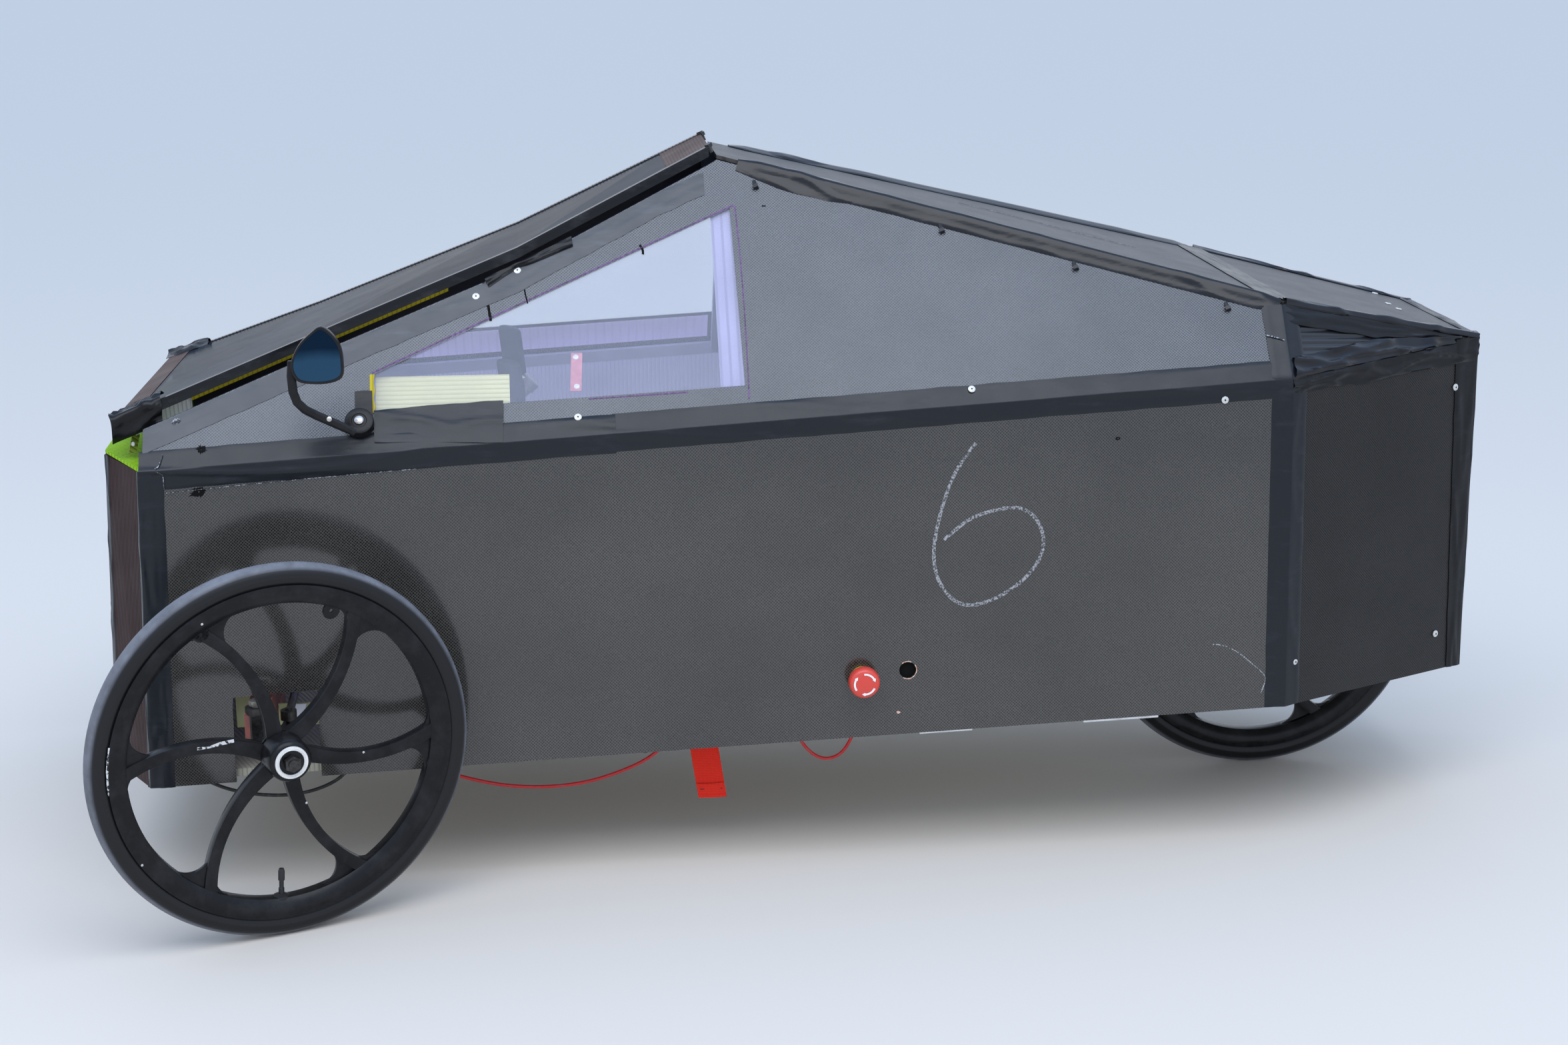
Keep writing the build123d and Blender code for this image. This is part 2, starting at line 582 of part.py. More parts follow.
def kingpin_bolts():
    """A bolt through each end of the beam, with a six-sided head and nut."""
    bolts = []
    for side in (-1, 1):
        at = Vector(kingpin_x, side * kingpin_y, kingpin_z)
        shank = rod(at - Vector(0, 0, KINGPIN_BELOW), at + Vector(0, 0, KINGPIN_ABOVE), KINGPIN_RADIUS)
        pieces = [shank]
        for height in (KINGPIN_ABOVE - 0.5, 2.5 - KINGPIN_BELOW - BOLT_HEAD):
            plane = Plane(origin=at + Vector(0, 0, height), z_dir=(0, 0, 1))
            pieces.append(extrude(plane * RegularPolygon(BOLT_HEAD_RADIUS, 6), amount=BOLT_HEAD))
        bolts.append(weld(pieces))
    return Compound(children=bolts)


def arm_pin(side):
    """Where the steering arm's pin stands at rest."""
    return Vector(
        kingpin_x + ARM_LENGTH * math.cos(STEER), side * kingpin_y + ARM_LENGTH * math.sin(STEER), TIE_ROD_Z)


def tie_rod():
    """Rod between the two steering arms, with an eye at each end."""
    ends = [arm_pin(-1), arm_pin(1)]
    body = weld([rod(*ends, TIE_ROD_RADIUS), *[
        Pos(end.X, end.Y, end.Z) * Cylinder(ROD_EYE_RADIUS, ROD_EYE_HEIGHT) for end in ends]])
    for end in ends:
        reach = Vector(0, 0, ROD_EYE_HEIGHT)
        body -= rod(end - reach, end + reach, ARM_STUD_RADIUS + 4 * RUNNING_GAP)
    return body


def rear_axle():
    """Fixed shaft between two upright plates that stand on the floor beside the slot."""
    plates = []
    for side in (-1, 1):
        face = []
        for reach, rise in (
                (-PLATE_FOOT_REACH, FLOOR_SHEET), (PLATE_FOOT_REACH, FLOOR_SHEET),
                (PLATE_TOP_REACH, PLATE_TOP_RISE), (-PLATE_TOP_REACH, PLATE_TOP_RISE)):
            x = REAR_AXLE_X + reach
            face.append(Vector(x, side * PLATE_Y, floor_z(x) + rise))
        plates.append(extrude(Face(Wire.make_polygon(face)), amount=PLATE, dir=(0, side, 0)))
    ends = [Vector(REAR_AXLE_X, side * REAR_AXLE_HALF_LENGTH, WHEEL_RADIUS) for side in (-1, 1)]
    return weld([*plates, rod(*ends, AXLE_RADIUS)])


def lid_point(share_x, side, drop=0.0, inset=0.0):
    """A point on the lid's top at the given x, at the side rail, moved inwards by inset."""
    for first, last in zip(LID_STATIONS, LID_STATIONS[1:]):
        if share_x <= last[0] or last is LID_STATIONS[-1]:
            share = (share_x - first[0]) / (last[0] - first[0])
            width, left, right = [a + share * (b - a) for a, b in zip(first[1:], last[1:])]
            z = left if side < 0 else right
            inner = width - inset
            middle = (left + right) / 2
            tilted = middle + (z - middle) * inner / width
            return Vector(share_x, side * inner, tilted - drop)
    return None


def lid_pieces():
    """A frame of two side rails and two cross rails, front and rear boards, and the clear film."""
    down = Vector(0, 0, -LID_RAIL)
    stations = [station[0] for station in LID_STATIONS]
    rails = []
    for side in (-1, 1):
        runs = []
        for first, last in zip(stations, stations[1:]):
            runs.append(slab([
                lid_point(first, side), lid_point(last, side),
                lid_point(last, side, 0, LID_RAIL), lid_point(first, side, 0, LID_RAIL)], down))
        rails.append(weld(runs))
    cross = []
    for first, last in ((stations[0], stations[0] + LID_RAIL), (stations[-1] - LID_RAIL, stations[-1])):
        cross.append(slab([
            lid_point(first, -1, LID_CROSS_DROP, LID_RAIL), lid_point(last, -1, LID_CROSS_DROP, LID_RAIL),
            lid_point(last, 1, LID_CROSS_DROP, LID_RAIL), lid_point(first, 1, LID_CROSS_DROP, LID_RAIL),
        ], Vector(0, 0, LID_CROSS_DROP - LID_RAIL)))
    boards = []
    board_inset = LID_RAIL + LID_BOARD_GAP
    for first, last in (
            (stations[0], stations[0] + LID_FRONT_STRIP), (stations[-1] - LID_REAR_STRIP, stations[-1])):
        boards.append(slab([
            lid_point(first, -1, 0.3, board_inset), lid_point(last, -1, 0.3, board_inset),
            lid_point(last, 1, 0.3, board_inset), lid_point(first, 1, 0.3, board_inset),
        ], Vector(0, 0, -LID_BOARD)))
    film_x = [stations[0] + LID_FRONT_STRIP, stations[1], stations[2], stations[-1] - LID_REAR_STRIP]
    film = []
    for first, last in zip(film_x, film_x[1:]):
        film.append(slab([
            lid_point(first, -1, 1, LID_RAIL), lid_point(last, -1, 1, LID_RAIL),
            lid_point(last, 1, 1, LID_RAIL), lid_point(first, 1, 1, LID_RAIL)], Vector(0, 0, -WINDOW_FILM)))
    return weld(rails + cross), Compound(children=boards), weld(film)


def seat():
    """Thin moulded seat lying back towards the power unit."""
    base_z = floor_z(SEAT_X) + FLOOR_SHEET + 1
    cushion = Pos(SEAT_X, 0, base_z + SEAT_CUSHION / 2 + 1) * Box(SEAT_LENGTH, SEAT_WIDTH, SEAT_CUSHION)
    foot = Vector(SEAT_BACK_FOOT_X, 0, base_z + 22)
    head = Vector(SEAT_BACK_TOP[0], 0, SEAT_BACK_TOP[1])
    back = bar(foot, head, SEAT_WIDTH, SEAT_BACK)
    return weld([cushion, back])


def power_unit():
    length, width, height = POWER_UNIT_SIZE
    base = floor_z(POWER_UNIT_X) + FLOOR_SHEET
    return Pos(POWER_UNIT_X, 0, base + 3 + height / 2) * Box(length, width, height)


def steering_post():
    """Upright stand on the floor with the bearing that the column's foot turns in."""
    base = floor_z(COLUMN_FOOT.X) + FLOOR_SHEET
    top = COLUMN_FOOT.Z - COLUMN_RADIUS
    return Pos(COLUMN_FOOT.X, 0, (base + top) / 2) * Box(POST_WIDTH, POST_WIDTH, top - base)


def tiller():
    """Column, clamp and a cross bar with two upright ends."""
    along = (COLUMN_TOP - COLUMN_FOOT).normalized()
    column = rod(COLUMN_FOOT, COLUMN_TOP, COLUMN_RADIUS)
    clamp = rod(COLUMN_TOP - along * 14, COLUMN_TOP + along * 16, CLAMP_RADIUS)
    reach = Vector(0, CROSS_BAR_REACH, 0)
    cross = rod(COLUMN_TOP - reach, COLUMN_TOP + reach, CROSS_BAR_RADIUS)
    return weld([column, clamp, cross])


def tiller_grips():
    """Foam grips standing on the ends of the cross bar."""
    along = (COLUMN_TOP - COLUMN_FOOT).normalized()
    grips = []
    for side in (-1, 1):
        foot = COLUMN_TOP + Vector(0, side * (CROSS_BAR_REACH + GRIP_RADIUS + 0.3), 0)
        grips.append(rod(foot - along * 18, foot + along * 84, GRIP_RADIUS))
    return Compound(children=grips)


def mirror_pieces():
    """Bar-end mirror on the left: a disc on the upper side, a bent arm and a shallow five-sided head whose
    glass is let into its outer face, as it is turned for parking."""
    pivot = side_point(*MIRROR_PLACE)
    out = Vector(0, -1, UPPER_LEAN).normalized()
    disc = rod(pivot + out * MIRROR_DISC_GAP, pivot + out * MIRROR_DISC_HEIGHT, MIRROR_DISC_RADIUS)
    bends = [Vector(*bend) for bend in MIRROR_ARM_BENDS]
    arm_path = FilletPolyline(pivot + out * MIRROR_DISC_HEIGHT * 0.6, *bends, radius=MIRROR_ARM_ROUND)
    arm = sweep(Plane(origin=arm_path @ 0, z_dir=arm_path % 0) * Circle(MIRROR_ARM_RADIUS), path=arm_path)
    outer_y = MIRROR_HEAD_Y - MIRROR_HEAD_DEPTH
    corners = [Vector(x, outer_y, z) for x, z in MIRROR_HEAD_CORNERS]
    head = extrude(Face(Wire.make_polygon(corners)), amount=MIRROR_HEAD_DEPTH, dir=(0, 1, 0))
    middle = Vector(MIRROR_HEAD_MIDDLE[0], outer_y, MIRROR_HEAD_MIDDLE[1])
    pane = Face(Wire.make_polygon([middle + (corner - middle) * MIRROR_GLASS_SHARE for corner in corners]))
    head -= extrude(pane, amount=MIRROR_RECESS, dir=(0, 1, 0))
    floor = pane.moved(Location((0, MIRROR_RECESS, 0)))
    glass = extrude(floor, amount=MIRROR_GLASS, dir=(0, -1, 0))
    return weld([disc, arm, head]), glass


def stop_pieces():
    """Yellow collar on the panel and the red mushroom button in front of it."""
    x, z = STOP_PLACE
    outer = side_point(x, z).Y

    def drum(near, far, radius):
        return rod(Vector(x, outer - near, z), Vector(x, outer - far, z), radius)

    stem = drum(-STOP_STEM_DEPTH, 2, PANEL_HOLE_RADIUS - 0.4)
    collar = weld([drum(0.8, STOP_COLLAR_DEPTH, STOP_COLLAR_RADIUS), stem])
    cap = drum(STOP_CAP_NEAR, STOP_CAP_FAR, STOP_CAP_RADIUS)
    cap = fillet(cap.edges().group_by(Axis.Y)[0], STOP_CAP_ROUND)
    return collar, weld([drum(STOP_COLLAR_DEPTH, STOP_CAP_NEAR + 1, STOP_NECK_RADIUS), cap])


def red_strap():
    """Loose end of webbing that hangs through the floor."""
    top_z = floor_z(520)
    outline = [(500, top_z), (537, top_z + 1), (551, 60), (514, 66)]
    face = Face(Wire.make_polygon([Vector(x, -240, z) for x, z in outline]))
    return extrude(face, amount=2, dir=(0, 1, 0))


def main():
    os.makedirs("parts", exist_ok=True)
    nodes = body_panels()
    nodes["floor_pan"] = floor_pan()
    nodes["floor_strips"] = floor_strips()
    standing = {
        "body_frame": body_frame(), "front_axle_beam": axle_beam(), "rear_axle": rear_axle(), "seat": seat(),
        "power_unit": power_unit(), "steering_post": steering_post()}
    for name, shape in standing.items():
        nodes[name] = shape - nodes["floor_pan"]
    nodes["kingpin_bolts"] = kingpin_bolts()
    nodes["tiller"] = tiller()
    nodes["tiller_grips"] = tiller_grips()
    nodes["lid_frame"], nodes["lid_boards"], nodes["lid_film"] = lid_pieces()
    nodes["mirror_head"], nodes["mirror_glass"] = mirror_pieces()
    nodes["stop_collar"], nodes["stop_button"] = stop_pieces()
    nodes["red_hose"] = hose(RED_HOSE_ROUTE, HOSE_RADIUS, "red_hose")
    nodes["red_loop"] = hose(RED_LOOP_ROUTE, HOSE_RADIUS - 0.1, "red_loop")
    nodes["black_cable"] = hose(BLACK_CABLE_ROUTE, HOSE_RADIUS, "black_cable")
    nodes["red_strap"] = red_strap()
    nodes["tie_rod"] = tie_rod()
    nodes["knuckle_left"] = knuckle(-1)
    nodes["knuckle_right"] = knuckle(1)
    front_tyre, front_rim = tyre(), rim(HUB_OUTBOARD, HUB_INBOARD)
    for side_name, place in (("left", placed_left), ("right", placed_right)):
        nodes["front_" + side_name + "_tyre"] = place(front_tyre)
        nodes["front_" + side_name + "_rim"] = place(front_rim)
    rear_place = Pos(REAR_AXLE_X, 0, WHEEL_RADIUS)
    nodes["rear_tyre"] = rear_place * front_tyre
    nodes["rear_hub"] = rear_place * rear_hub()
    nodes["rear_rim"] = rear_place * rim(TYRE_HALF_WIDTH, TYRE_HALF_WIDTH) - nodes["rear_hub"]
    lows, highs = [], []
    for name, shape in nodes.items():
        box = write(name, shape)
        lows.append(box.min)
        highs.append(box.max)
    low = [round(min(getattr(corner, axis) for corner in lows), 2) for axis in "XYZ"]
    high = [round(max(getattr(corner, axis) for corner in highs), 2) for axis in "XYZ"]
    print("box", low, high, len(nodes), "nodes")


main()
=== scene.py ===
import json
import math

import bmesh
import bpy
from mathutils import Matrix, Vector, noise


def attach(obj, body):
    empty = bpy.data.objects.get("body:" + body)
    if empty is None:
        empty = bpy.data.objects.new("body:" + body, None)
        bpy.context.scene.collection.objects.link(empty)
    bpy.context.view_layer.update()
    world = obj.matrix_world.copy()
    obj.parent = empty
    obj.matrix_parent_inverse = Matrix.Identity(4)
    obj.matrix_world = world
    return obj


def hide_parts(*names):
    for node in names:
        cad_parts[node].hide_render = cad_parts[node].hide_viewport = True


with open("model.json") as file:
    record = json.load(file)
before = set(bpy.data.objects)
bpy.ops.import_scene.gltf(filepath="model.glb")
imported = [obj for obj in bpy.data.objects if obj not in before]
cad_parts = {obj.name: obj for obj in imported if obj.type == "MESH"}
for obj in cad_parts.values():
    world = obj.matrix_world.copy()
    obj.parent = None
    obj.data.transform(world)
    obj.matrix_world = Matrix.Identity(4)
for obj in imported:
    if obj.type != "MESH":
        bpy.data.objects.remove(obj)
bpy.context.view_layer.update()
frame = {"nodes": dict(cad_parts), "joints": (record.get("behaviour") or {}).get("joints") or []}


# The view. The camera stands 3.4 m in front of the car's left side at chest height and looks a little down.
# Its lens and place were worked out from the outlines of the wheels and the body panels.
EYE = Vector((-0.3189, -3.4751, 1.2676))
YAW, PITCH, ROLL = 0.095, 0.25, -0.01
FOCAL_PIXELS = 3900
FRAME_PIXELS = 2352

ahead = Vector((math.sin(YAW) * math.cos(PITCH), math.cos(YAW) * math.cos(PITCH), -math.sin(PITCH)))
level = Vector((math.cos(YAW), -math.sin(YAW), 0))
upward = level.cross(ahead)
right = level * math.cos(ROLL) + upward * math.sin(ROLL)
top = upward * math.cos(ROLL) - level * math.sin(ROLL)
camera_data = bpy.data.cameras.new("camera")
camera_data.sensor_width = 36
camera_data.lens = 36 * FOCAL_PIXELS / FRAME_PIXELS
camera_data.clip_end = 200
camera = bpy.data.objects.new("camera", camera_data)
camera.matrix_world = Matrix.Translation(EYE) @ Matrix((right, top, -ahead)).transposed().to_4x4()
bpy.context.collection.objects.link(camera)
bpy.context.scene.camera = camera
bpy.context.scene.view_settings.view_transform = "Standard"


# The ground and the light: a plain pale floor under an even white sky that is brighter overhead than at the
# horizon, with one large soft lamp above the near side.
def wire(tree, kind, inputs=None, **settings):
    """One node in a tree, its inputs set to values or joined to other nodes' outputs."""
    made = tree.nodes.new(kind)
    for key, value in settings.items():
        setattr(made, key, value)
    for key, value in (inputs or {}).items():
        if isinstance(value, bpy.types.NodeSocket):
            tree.links.new(value, made.inputs[key])
        else:
            made.inputs[key].default_value = value
    return made


def finish(name, colour, roughness, **sockets):
    """A material with its shader's plain values; sockets are named in words joined by underscores."""
    made = bpy.data.materials.new(name)
    made.use_nodes = True
    shader = made.node_tree.nodes["Principled BSDF"]
    shader.inputs["Base Color"].default_value = (*colour, 1)
    shader.inputs["Roughness"].default_value = roughness
    for key, value in sockets.items():
        shader.inputs[key.replace("_", " ").title().replace("Ior", "IOR")].default_value = value
    return made, made.node_tree, shader


def ramp(tree, factor, low, high, colours=((0, 0, 0), (1, 1, 1))):
    """A colour ramp with two stops."""
    made = wire(tree, "ShaderNodeValToRGB", {0: factor})
    for stop, place, colour in zip(made.color_ramp.elements, (low, high), colours):
        stop.position = place
        stop.color = (*colour, 1)
    return made.outputs[0]


FLOOR_SIZE = 60
floor_mesh = bpy.data.meshes.new("floor")
half = FLOOR_SIZE / 2
floor_mesh.from_pydata([(-half, -half, 0), (half, -half, 0), (half, half, 0), (-half, half, 0)], [],
                       [(0, 1, 2, 3)])
floor = bpy.data.objects.new("floor", floor_mesh)
bpy.context.collection.objects.link(floor)
floor_mesh.materials.append(finish("pale_floor", (0.66, 0.605, 0.54), 0.85)[0])

world = bpy.data.worlds.new("sky")
world.use_nodes = True
bpy.context.scene.world = world
tree = world.node_tree
place = wire(tree, "ShaderNodeTexCoord").outputs["Generated"]
height = wire(tree, "ShaderNodeSeparateXYZ", {0: place}).outputs[2]
sky = ramp(tree, height, 0.0, 0.85, ((0.84, 0.86, 0.90), (0.74, 1.02, 1.50)))
tree.links.new(sky, tree.nodes["Background"].inputs[0])
tree.nodes["Background"].inputs[1].default_value = 1.0

lamp_data = bpy.data.lights.new("soft_lamp", "AREA")
lamp_data.shape = "RECTANGLE"
lamp_data.size, lamp_data.size_y = 5, 3
lamp_data.energy = 130
lamp_data.color = (1.0, 0.98, 0.95)
lamp = bpy.data.objects.new("soft_lamp", lamp_data)
lamp.location = (-0.5, -2.6, 4.2)
lamp.rotation_euler = (math.radians(34), 0, 0)
bpy.context.collection.objects.link(lamp)


# The hoses and the cable below the floor: a thin red tube in a long sag, a tighter loop of the same tube and
# a black cable, each pushed up through the floor board at both ends.
HOSE_BORE = 0.0046
LOOP_BORE = 0.0044
FRONT_AXLE_X = -0.6424
RED_HOSE = (
    (0.108, -0.240, 0.160), (0.130, -0.241, 0.141), (0.165, -0.243, 0.125), (0.212, -0.244, 0.109),
    (0.262, -0.243, 0.0955), (0.318, -0.240, 0.090), (0.370, -0.238, 0.094), (0.415, -0.237, 0.107),
    (0.452, -0.238, 0.124), (0.476, -0.239, 0.147), (0.487, -0.240, 0.171),
)
RED_LOOP = (
    (0.640, -0.238, 0.175), (0.646, -0.239, 0.149), (0.660, -0.240, 0.126), (0.680, -0.242, 0.113),
    (0.702, -0.241, 0.117), (0.717, -0.239, 0.136), (0.724, -0.238, 0.160), (0.727, -0.238, 0.178),
)
BLACK_CABLE = (
    (-0.142, -0.278, 0.153), (-0.121, -0.279, 0.135), (-0.088, -0.281, 0.1195), (-0.048, -0.282, 0.111),
    (-0.006, -0.281, 0.109), (0.032, -0.280, 0.1175), (0.061, -0.279, 0.1345), (0.078, -0.278, 0.159),
)


def grain(tree, scale, detail=3.0, roughness=0.5, stretch=(1, 1, 1)):
    """Noise in the piece's own space, stretched along its axes."""
    place = wire(tree, "ShaderNodeTexCoord").outputs["Object"]
    turned = wire(tree, "ShaderNodeMapping", {"Vector": place, "Scale": stretch}).outputs[0]
    return wire(tree, "ShaderNodeTexNoise", {
        "Vector": turned, "Scale": scale, "Detail": detail, "Roughness": roughness}).outputs["Fac"]


def relief(tree, shader, height, distance, strength=1.0):
    """Bump from a height, over any bump that the shader already has."""
    made = wire(tree, "ShaderNodeBump", {"Height": height, "Distance": distance, "Strength": strength})
    earlier = shader.inputs["Normal"].links
    if earlier:
        tree.links.new(earlier[0].from_socket, made.inputs["Normal"])
    tree.links.new(made.outputs[0], shader.inputs["Normal"])


def tube_finish(name, colour, roughness):
    """Smooth extruded plastic with faint dust."""
    made, tree, shader = finish(name, colour, roughness, specular_ior_level=0.6)
    dusty = [channel * 0.6 + 0.06 for channel in colour]
    tree.links.new(ramp(tree, grain(tree, 180, 2), 0.5, 0.8, (colour, dusty)), shader.inputs["Base Color"])
    return made


def free_hose(name, route, bore, material, node):
    """A smooth curve through the route, as thick as the tube."""
    curve = bpy.data.curves.new(name, "CURVE")
    curve.dimensions = "3D"
    curve.bevel_depth = bore / 2
    curve.bevel_resolution = 4
    curve.resolution_u = 10
    curve.use_fill_caps = True
    spline = curve.splines.new("NURBS")
    spline.points.add(len(route) - 1)
    points = [(x + FRONT_AXLE_X, y, z) for x, y, z in route]
    for point, place in zip(spline.points, points):
        point.co = (*place, 1)
    spline.order_u = 3
    spline.use_endpoint_u = True
    curve.materials.append(material)
    piece = bpy.data.objects.new(name, curve)
    bpy.context.collection.objects.link(piece)
    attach(piece, "body")
    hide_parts(node)
    return piece


red_tube = tube_finish("red_tube", (0.62, 0.008, 0.012), 0.32)
black_jacket = tube_finish("black_jacket", (0.012, 0.012, 0.013), 0.4)
free_hose("red_hose_line", RED_HOSE, HOSE_BORE, red_tube, "red_hose")
free_hose("red_loop_line", RED_LOOP, LOOP_BORE, red_tube, "red_loop")
free_hose("black_cable_line", BLACK_CABLE, HOSE_BORE, black_jacket, "black_cable")


# The shell is folded from dark plastic sheet embossed with a fine diagonal net. The lower sides stand nearly
# upright, the upper sides lean in above the belt fold, and every panel is cut flat and taped to the next.
CORNER_X, REAR_X, TAIL_X, PEAK_X = -0.8104, 0.6336, 0.9356, -0.0794
CORNER_HALF_WIDTH, REAR_HALF_WIDTH = 0.316, 0.308
CORNER_BELT_Z, REAR_BELT_Z = 0.548, 0.621
CORNER_BOTTOM, REAR_BOTTOM_Z = (-0.8204, 0.145), 0.190
LOWER_LEAN, UPPER_LEAN = 0.042, 0.7354
DECK_REAR_Z, PEAK_Z = 0.711, 0.895
TAIL_TOP, TAIL_BOTTOM = (0.142, 0.640), (0.136, 0.176)
NET_PITCH = 0.004
SHEET_WAVE = 0.003
MIDDLE = Vector((0, 0, 0.42))
SIDES = ((-1, "left"), (1, "right"))


def belt(x):
    """Half width and height of the belt fold."""
    share = (x - CORNER_X) / (REAR_X - CORNER_X)
    half_width = CORNER_HALF_WIDTH + share * (REAR_HALF_WIDTH - CORNER_HALF_WIDTH)
    return half_width, CORNER_BELT_Z + share * (REAR_BELT_Z - CORNER_BELT_Z)


def side_point(x, z, side=-1, out=0.0):
    """A point on the side's outer face, moved outwards by out."""
    half_width, fold_z = belt(x)
    lean = UPPER_LEAN if z > fold_z else LOWER_LEAN
    outward = Vector((0, side, lean)).normalized()
    return Vector((x, side * (half_width - (z - fold_z) * lean), z)) + outward * out


def blend_colours(tree, factor, first, second):
    """Mixes two colours, or two colour sockets, by a factor."""
    made = wire(tree, "ShaderNodeMix", data_type="RGBA")
    for socket, value in zip((made.inputs[0], made.inputs[6], made.inputs[7]), (factor, first, second)):
        if isinstance(value, bpy.types.NodeSocket):
            tree.links.new(value, socket)
        elif socket.type == "RGBA":
            socket.default_value = (*value, 1)
        else:
            socket.default_value = value
    return made.outputs[2]


def ribs_along(tree, axis, pitch):
    """A wave from -1 to 1 that repeats at a pitch along an axis of the piece's own space."""
    place = wire(tree, "ShaderNodeTexCoord").outputs["Object"]
    length = wire(tree, "ShaderNodeVectorMath", {0: place, 1: axis},
                  operation="DOT_PRODUCT").outputs["Value"]
    turn = wire(tree, "ShaderNodeMath", {0: length, 1: math.tau / pitch}, operation="MULTIPLY").outputs[0]
    return wire(tree, "ShaderNodeMath", {0: turn}, operation="COSINE").outputs[0]


def vary(tree, shader, socket, factor, low, high):
    """Drives a shader's socket from low to high by a factor."""
    made = wire(tree, "ShaderNodeMapRange", {0: factor, 3: low, 4: high})
    tree.links.new(made.outputs[0], shader.inputs[socket])


def woven_sheet(name, along, up, light, dark, roughness, level, gloss=0.0):
    """Embossed plastic: raised squares between dots darkened as painted shade in the recesses, dust, smudges
    and a slow waviness.
    """
    made, tree, shader = finish(name, light, roughness, specular_ior_level=level)
    waves = []
    for axis in (along, up):
        waves.append(ribs_along(tree, axis, NET_PITCH))
    net = wire(tree, "ShaderNodeMath", {0: waves[0], 1: waves[1]}, operation="MULTIPLY").outputs[0]
    uneven = grain(tree, 500, 1)
    shifted = wire(tree, "ShaderNodeMath", {0: uneven, 1: 1.2, 2: net}, operation="MULTIPLY_ADD").outputs[0]
    # Painted shade: the net's recesses, which the bump below sinks in, are coloured nearly black.
    recess_shade = ramp(tree, wire(tree, "ShaderNodeMapRange", {0: shifted, 1: -0.4, 2: 1.7}).outputs[0], 0.35, 0.75)
    smudge = ramp(tree, grain(tree, 3.2, 5, 0.62, (1, 1, 1.4)), 0.3, 0.72)
    dim = blend_colours(tree, smudge, [channel * 0.72 for channel in light],
                        [channel * 1.25 for channel in light])
    tree.links.new(blend_colours(tree, recess_shade, dim, dark), shader.inputs["Base Color"])
    vary(tree, shader, "Roughness", grain(tree, 14, 4, 0.6), roughness * 0.8, roughness * 1.5)
    relief(tree, shader, grain(tree, 3.0, 1), SHEET_WAVE)
    relief(tree, shader, net, -0.00025, 0.5)
    # The smooth outer skin mirrors its surroundings above the weave
    shader.inputs["Coat Weight"].default_value = gloss
    shader.inputs["Coat IOR"].default_value = 1.7
    vary(tree, shader, "Coat Roughness", grain(tree, 9, 5, 0.65), 0.04, 0.20)
    skin = wire(tree, "ShaderNodeBump", {"Height": grain(tree, 4.0, 2), "Distance": 0.0016, "Strength": 0.6})
    tree.links.new(skin.outputs[0], shader.inputs["Coat Normal"])
    return made


def paint(node, material):
    """Gives a CAD node its finish."""
    node_mesh = frame["nodes"][node].data
    node_mesh.materials.clear()
    node_mesh.materials.append(material)


SLOPE_UP = Vector((0, 0, math.hypot(1, UPPER_LEAN)))
lower_sheet = woven_sheet(
    "lower_sheet", (1, 0, 0), (-0.05, 0, 1), (0.060, 0.055, 0.049), (0.001, 0.001, 0.001), 0.34, 0.2,
    gloss=0.75)
# The upper sides' copy of the sheet is lighter and bluer than the lower sides': painted sky light on the
# slopes that face up.
upper_sheet = woven_sheet(
    "upper_sheet", (1, 0, 0), SLOPE_UP, (0.066, 0.076, 0.094), (0.006, 0.008, 0.012), 0.26, 0.75)
for side, side_name in SIDES:
    paint("lower_side_" + side_name, lower_sheet)
    paint("upper_side_" + side_name, upper_sheet)
tail_run = Vector((TAIL_X - REAR_X, TAIL_TOP[0] - REAR_HALF_WIDTH, 0)).normalized()
for side, side_name in SIDES:
    run = (tail_run.x, side * tail_run.y, 0)
    paint("tail_side_" + side_name, woven_sheet(
        "tail_sheet_" + side_name, run, (0, 0, 1), (0.030, 0.028, 0.027), (0.001, 0.001, 0.001), 0.36, 0.25))
paint("tail_end", woven_sheet(
    "tail_end_sheet", (0, 1, 0), (0, 0, 1), (0.030, 0.028, 0.027), (0.004, 0.004, 0.004), 0.3, 0.5))


# The seams are closed with black plastic tape 50 mm wide, folded round each edge by hand. It creases along
# its length, stretches over the folds and has gone grey where it has been rubbed.
TAPE_THICKNESS = 0.0004
TAPE_STEP = 0.006
TAPE_TURN = 0.005
SWELL_REACH = 0.012
TAPE_COLUMNS = 9
RAGGED_EDGE = 0.0015


def tape_finish(name, colour, roughness, level=0.35):
    """Soft plastic film: glossy, finely creased, with pale rubbed streaks."""
    made, tree, shader = finish(name, colour, roughness, specular_ior_level=level)
    streaks = grain(tree, 60, 4, 0.65, (0.25, 1, 1))
    pale = [channel * 1.8 + 0.006 for channel in colour]
    tree.links.new(ramp(tree, streaks, 0.55, 0.8, (colour, pale)), shader.inputs["Base Color"])
    vary(tree, shader, "Roughness", grain(tree, 25, 3), roughness * 0.7, roughness * 1.5)
    relief(tree, shader, grain(tree, 35, 3, 0.6, (0.4, 1, 1)), 0.0012, 0.5)
    relief(tree, shader, grain(tree, 420, 2), 0.00012, 0.5)
    return made


black_tape = tape_finish("black_tape", (0.006, 0.008, 0.012), 0.27)


def put(name, mesh, material, body, smooth_angle=40):
    """Makes a mesh a piece of the car."""
    mesh.materials.clear()
    mesh.materials.append(material)
    mesh.shade_smooth()
    mesh.set_sharp_from_angle(angle=math.radians(smooth_angle))
    piece = bpy.data.objects.new(name, mesh)
    bpy.context.collection.objects.link(piece)
    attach(piece, body)
    return piece


def drafted(name, data):
    """A draft object to set modifiers on."""
    draft = bpy.data.objects.new(name + "_draft", data)
    bpy.context.collection.objects.link(draft)
    return draft


def settled(draft, name):
    """The draft's shape as a plain mesh, with its modifiers applied and the draft removed."""
    mesh = bpy.data.meshes.new_from_object(draft.evaluated_get(bpy.context.evaluated_depsgraph_get()))
    mesh.name = name
    bpy.data.objects.remove(draft)
    return mesh


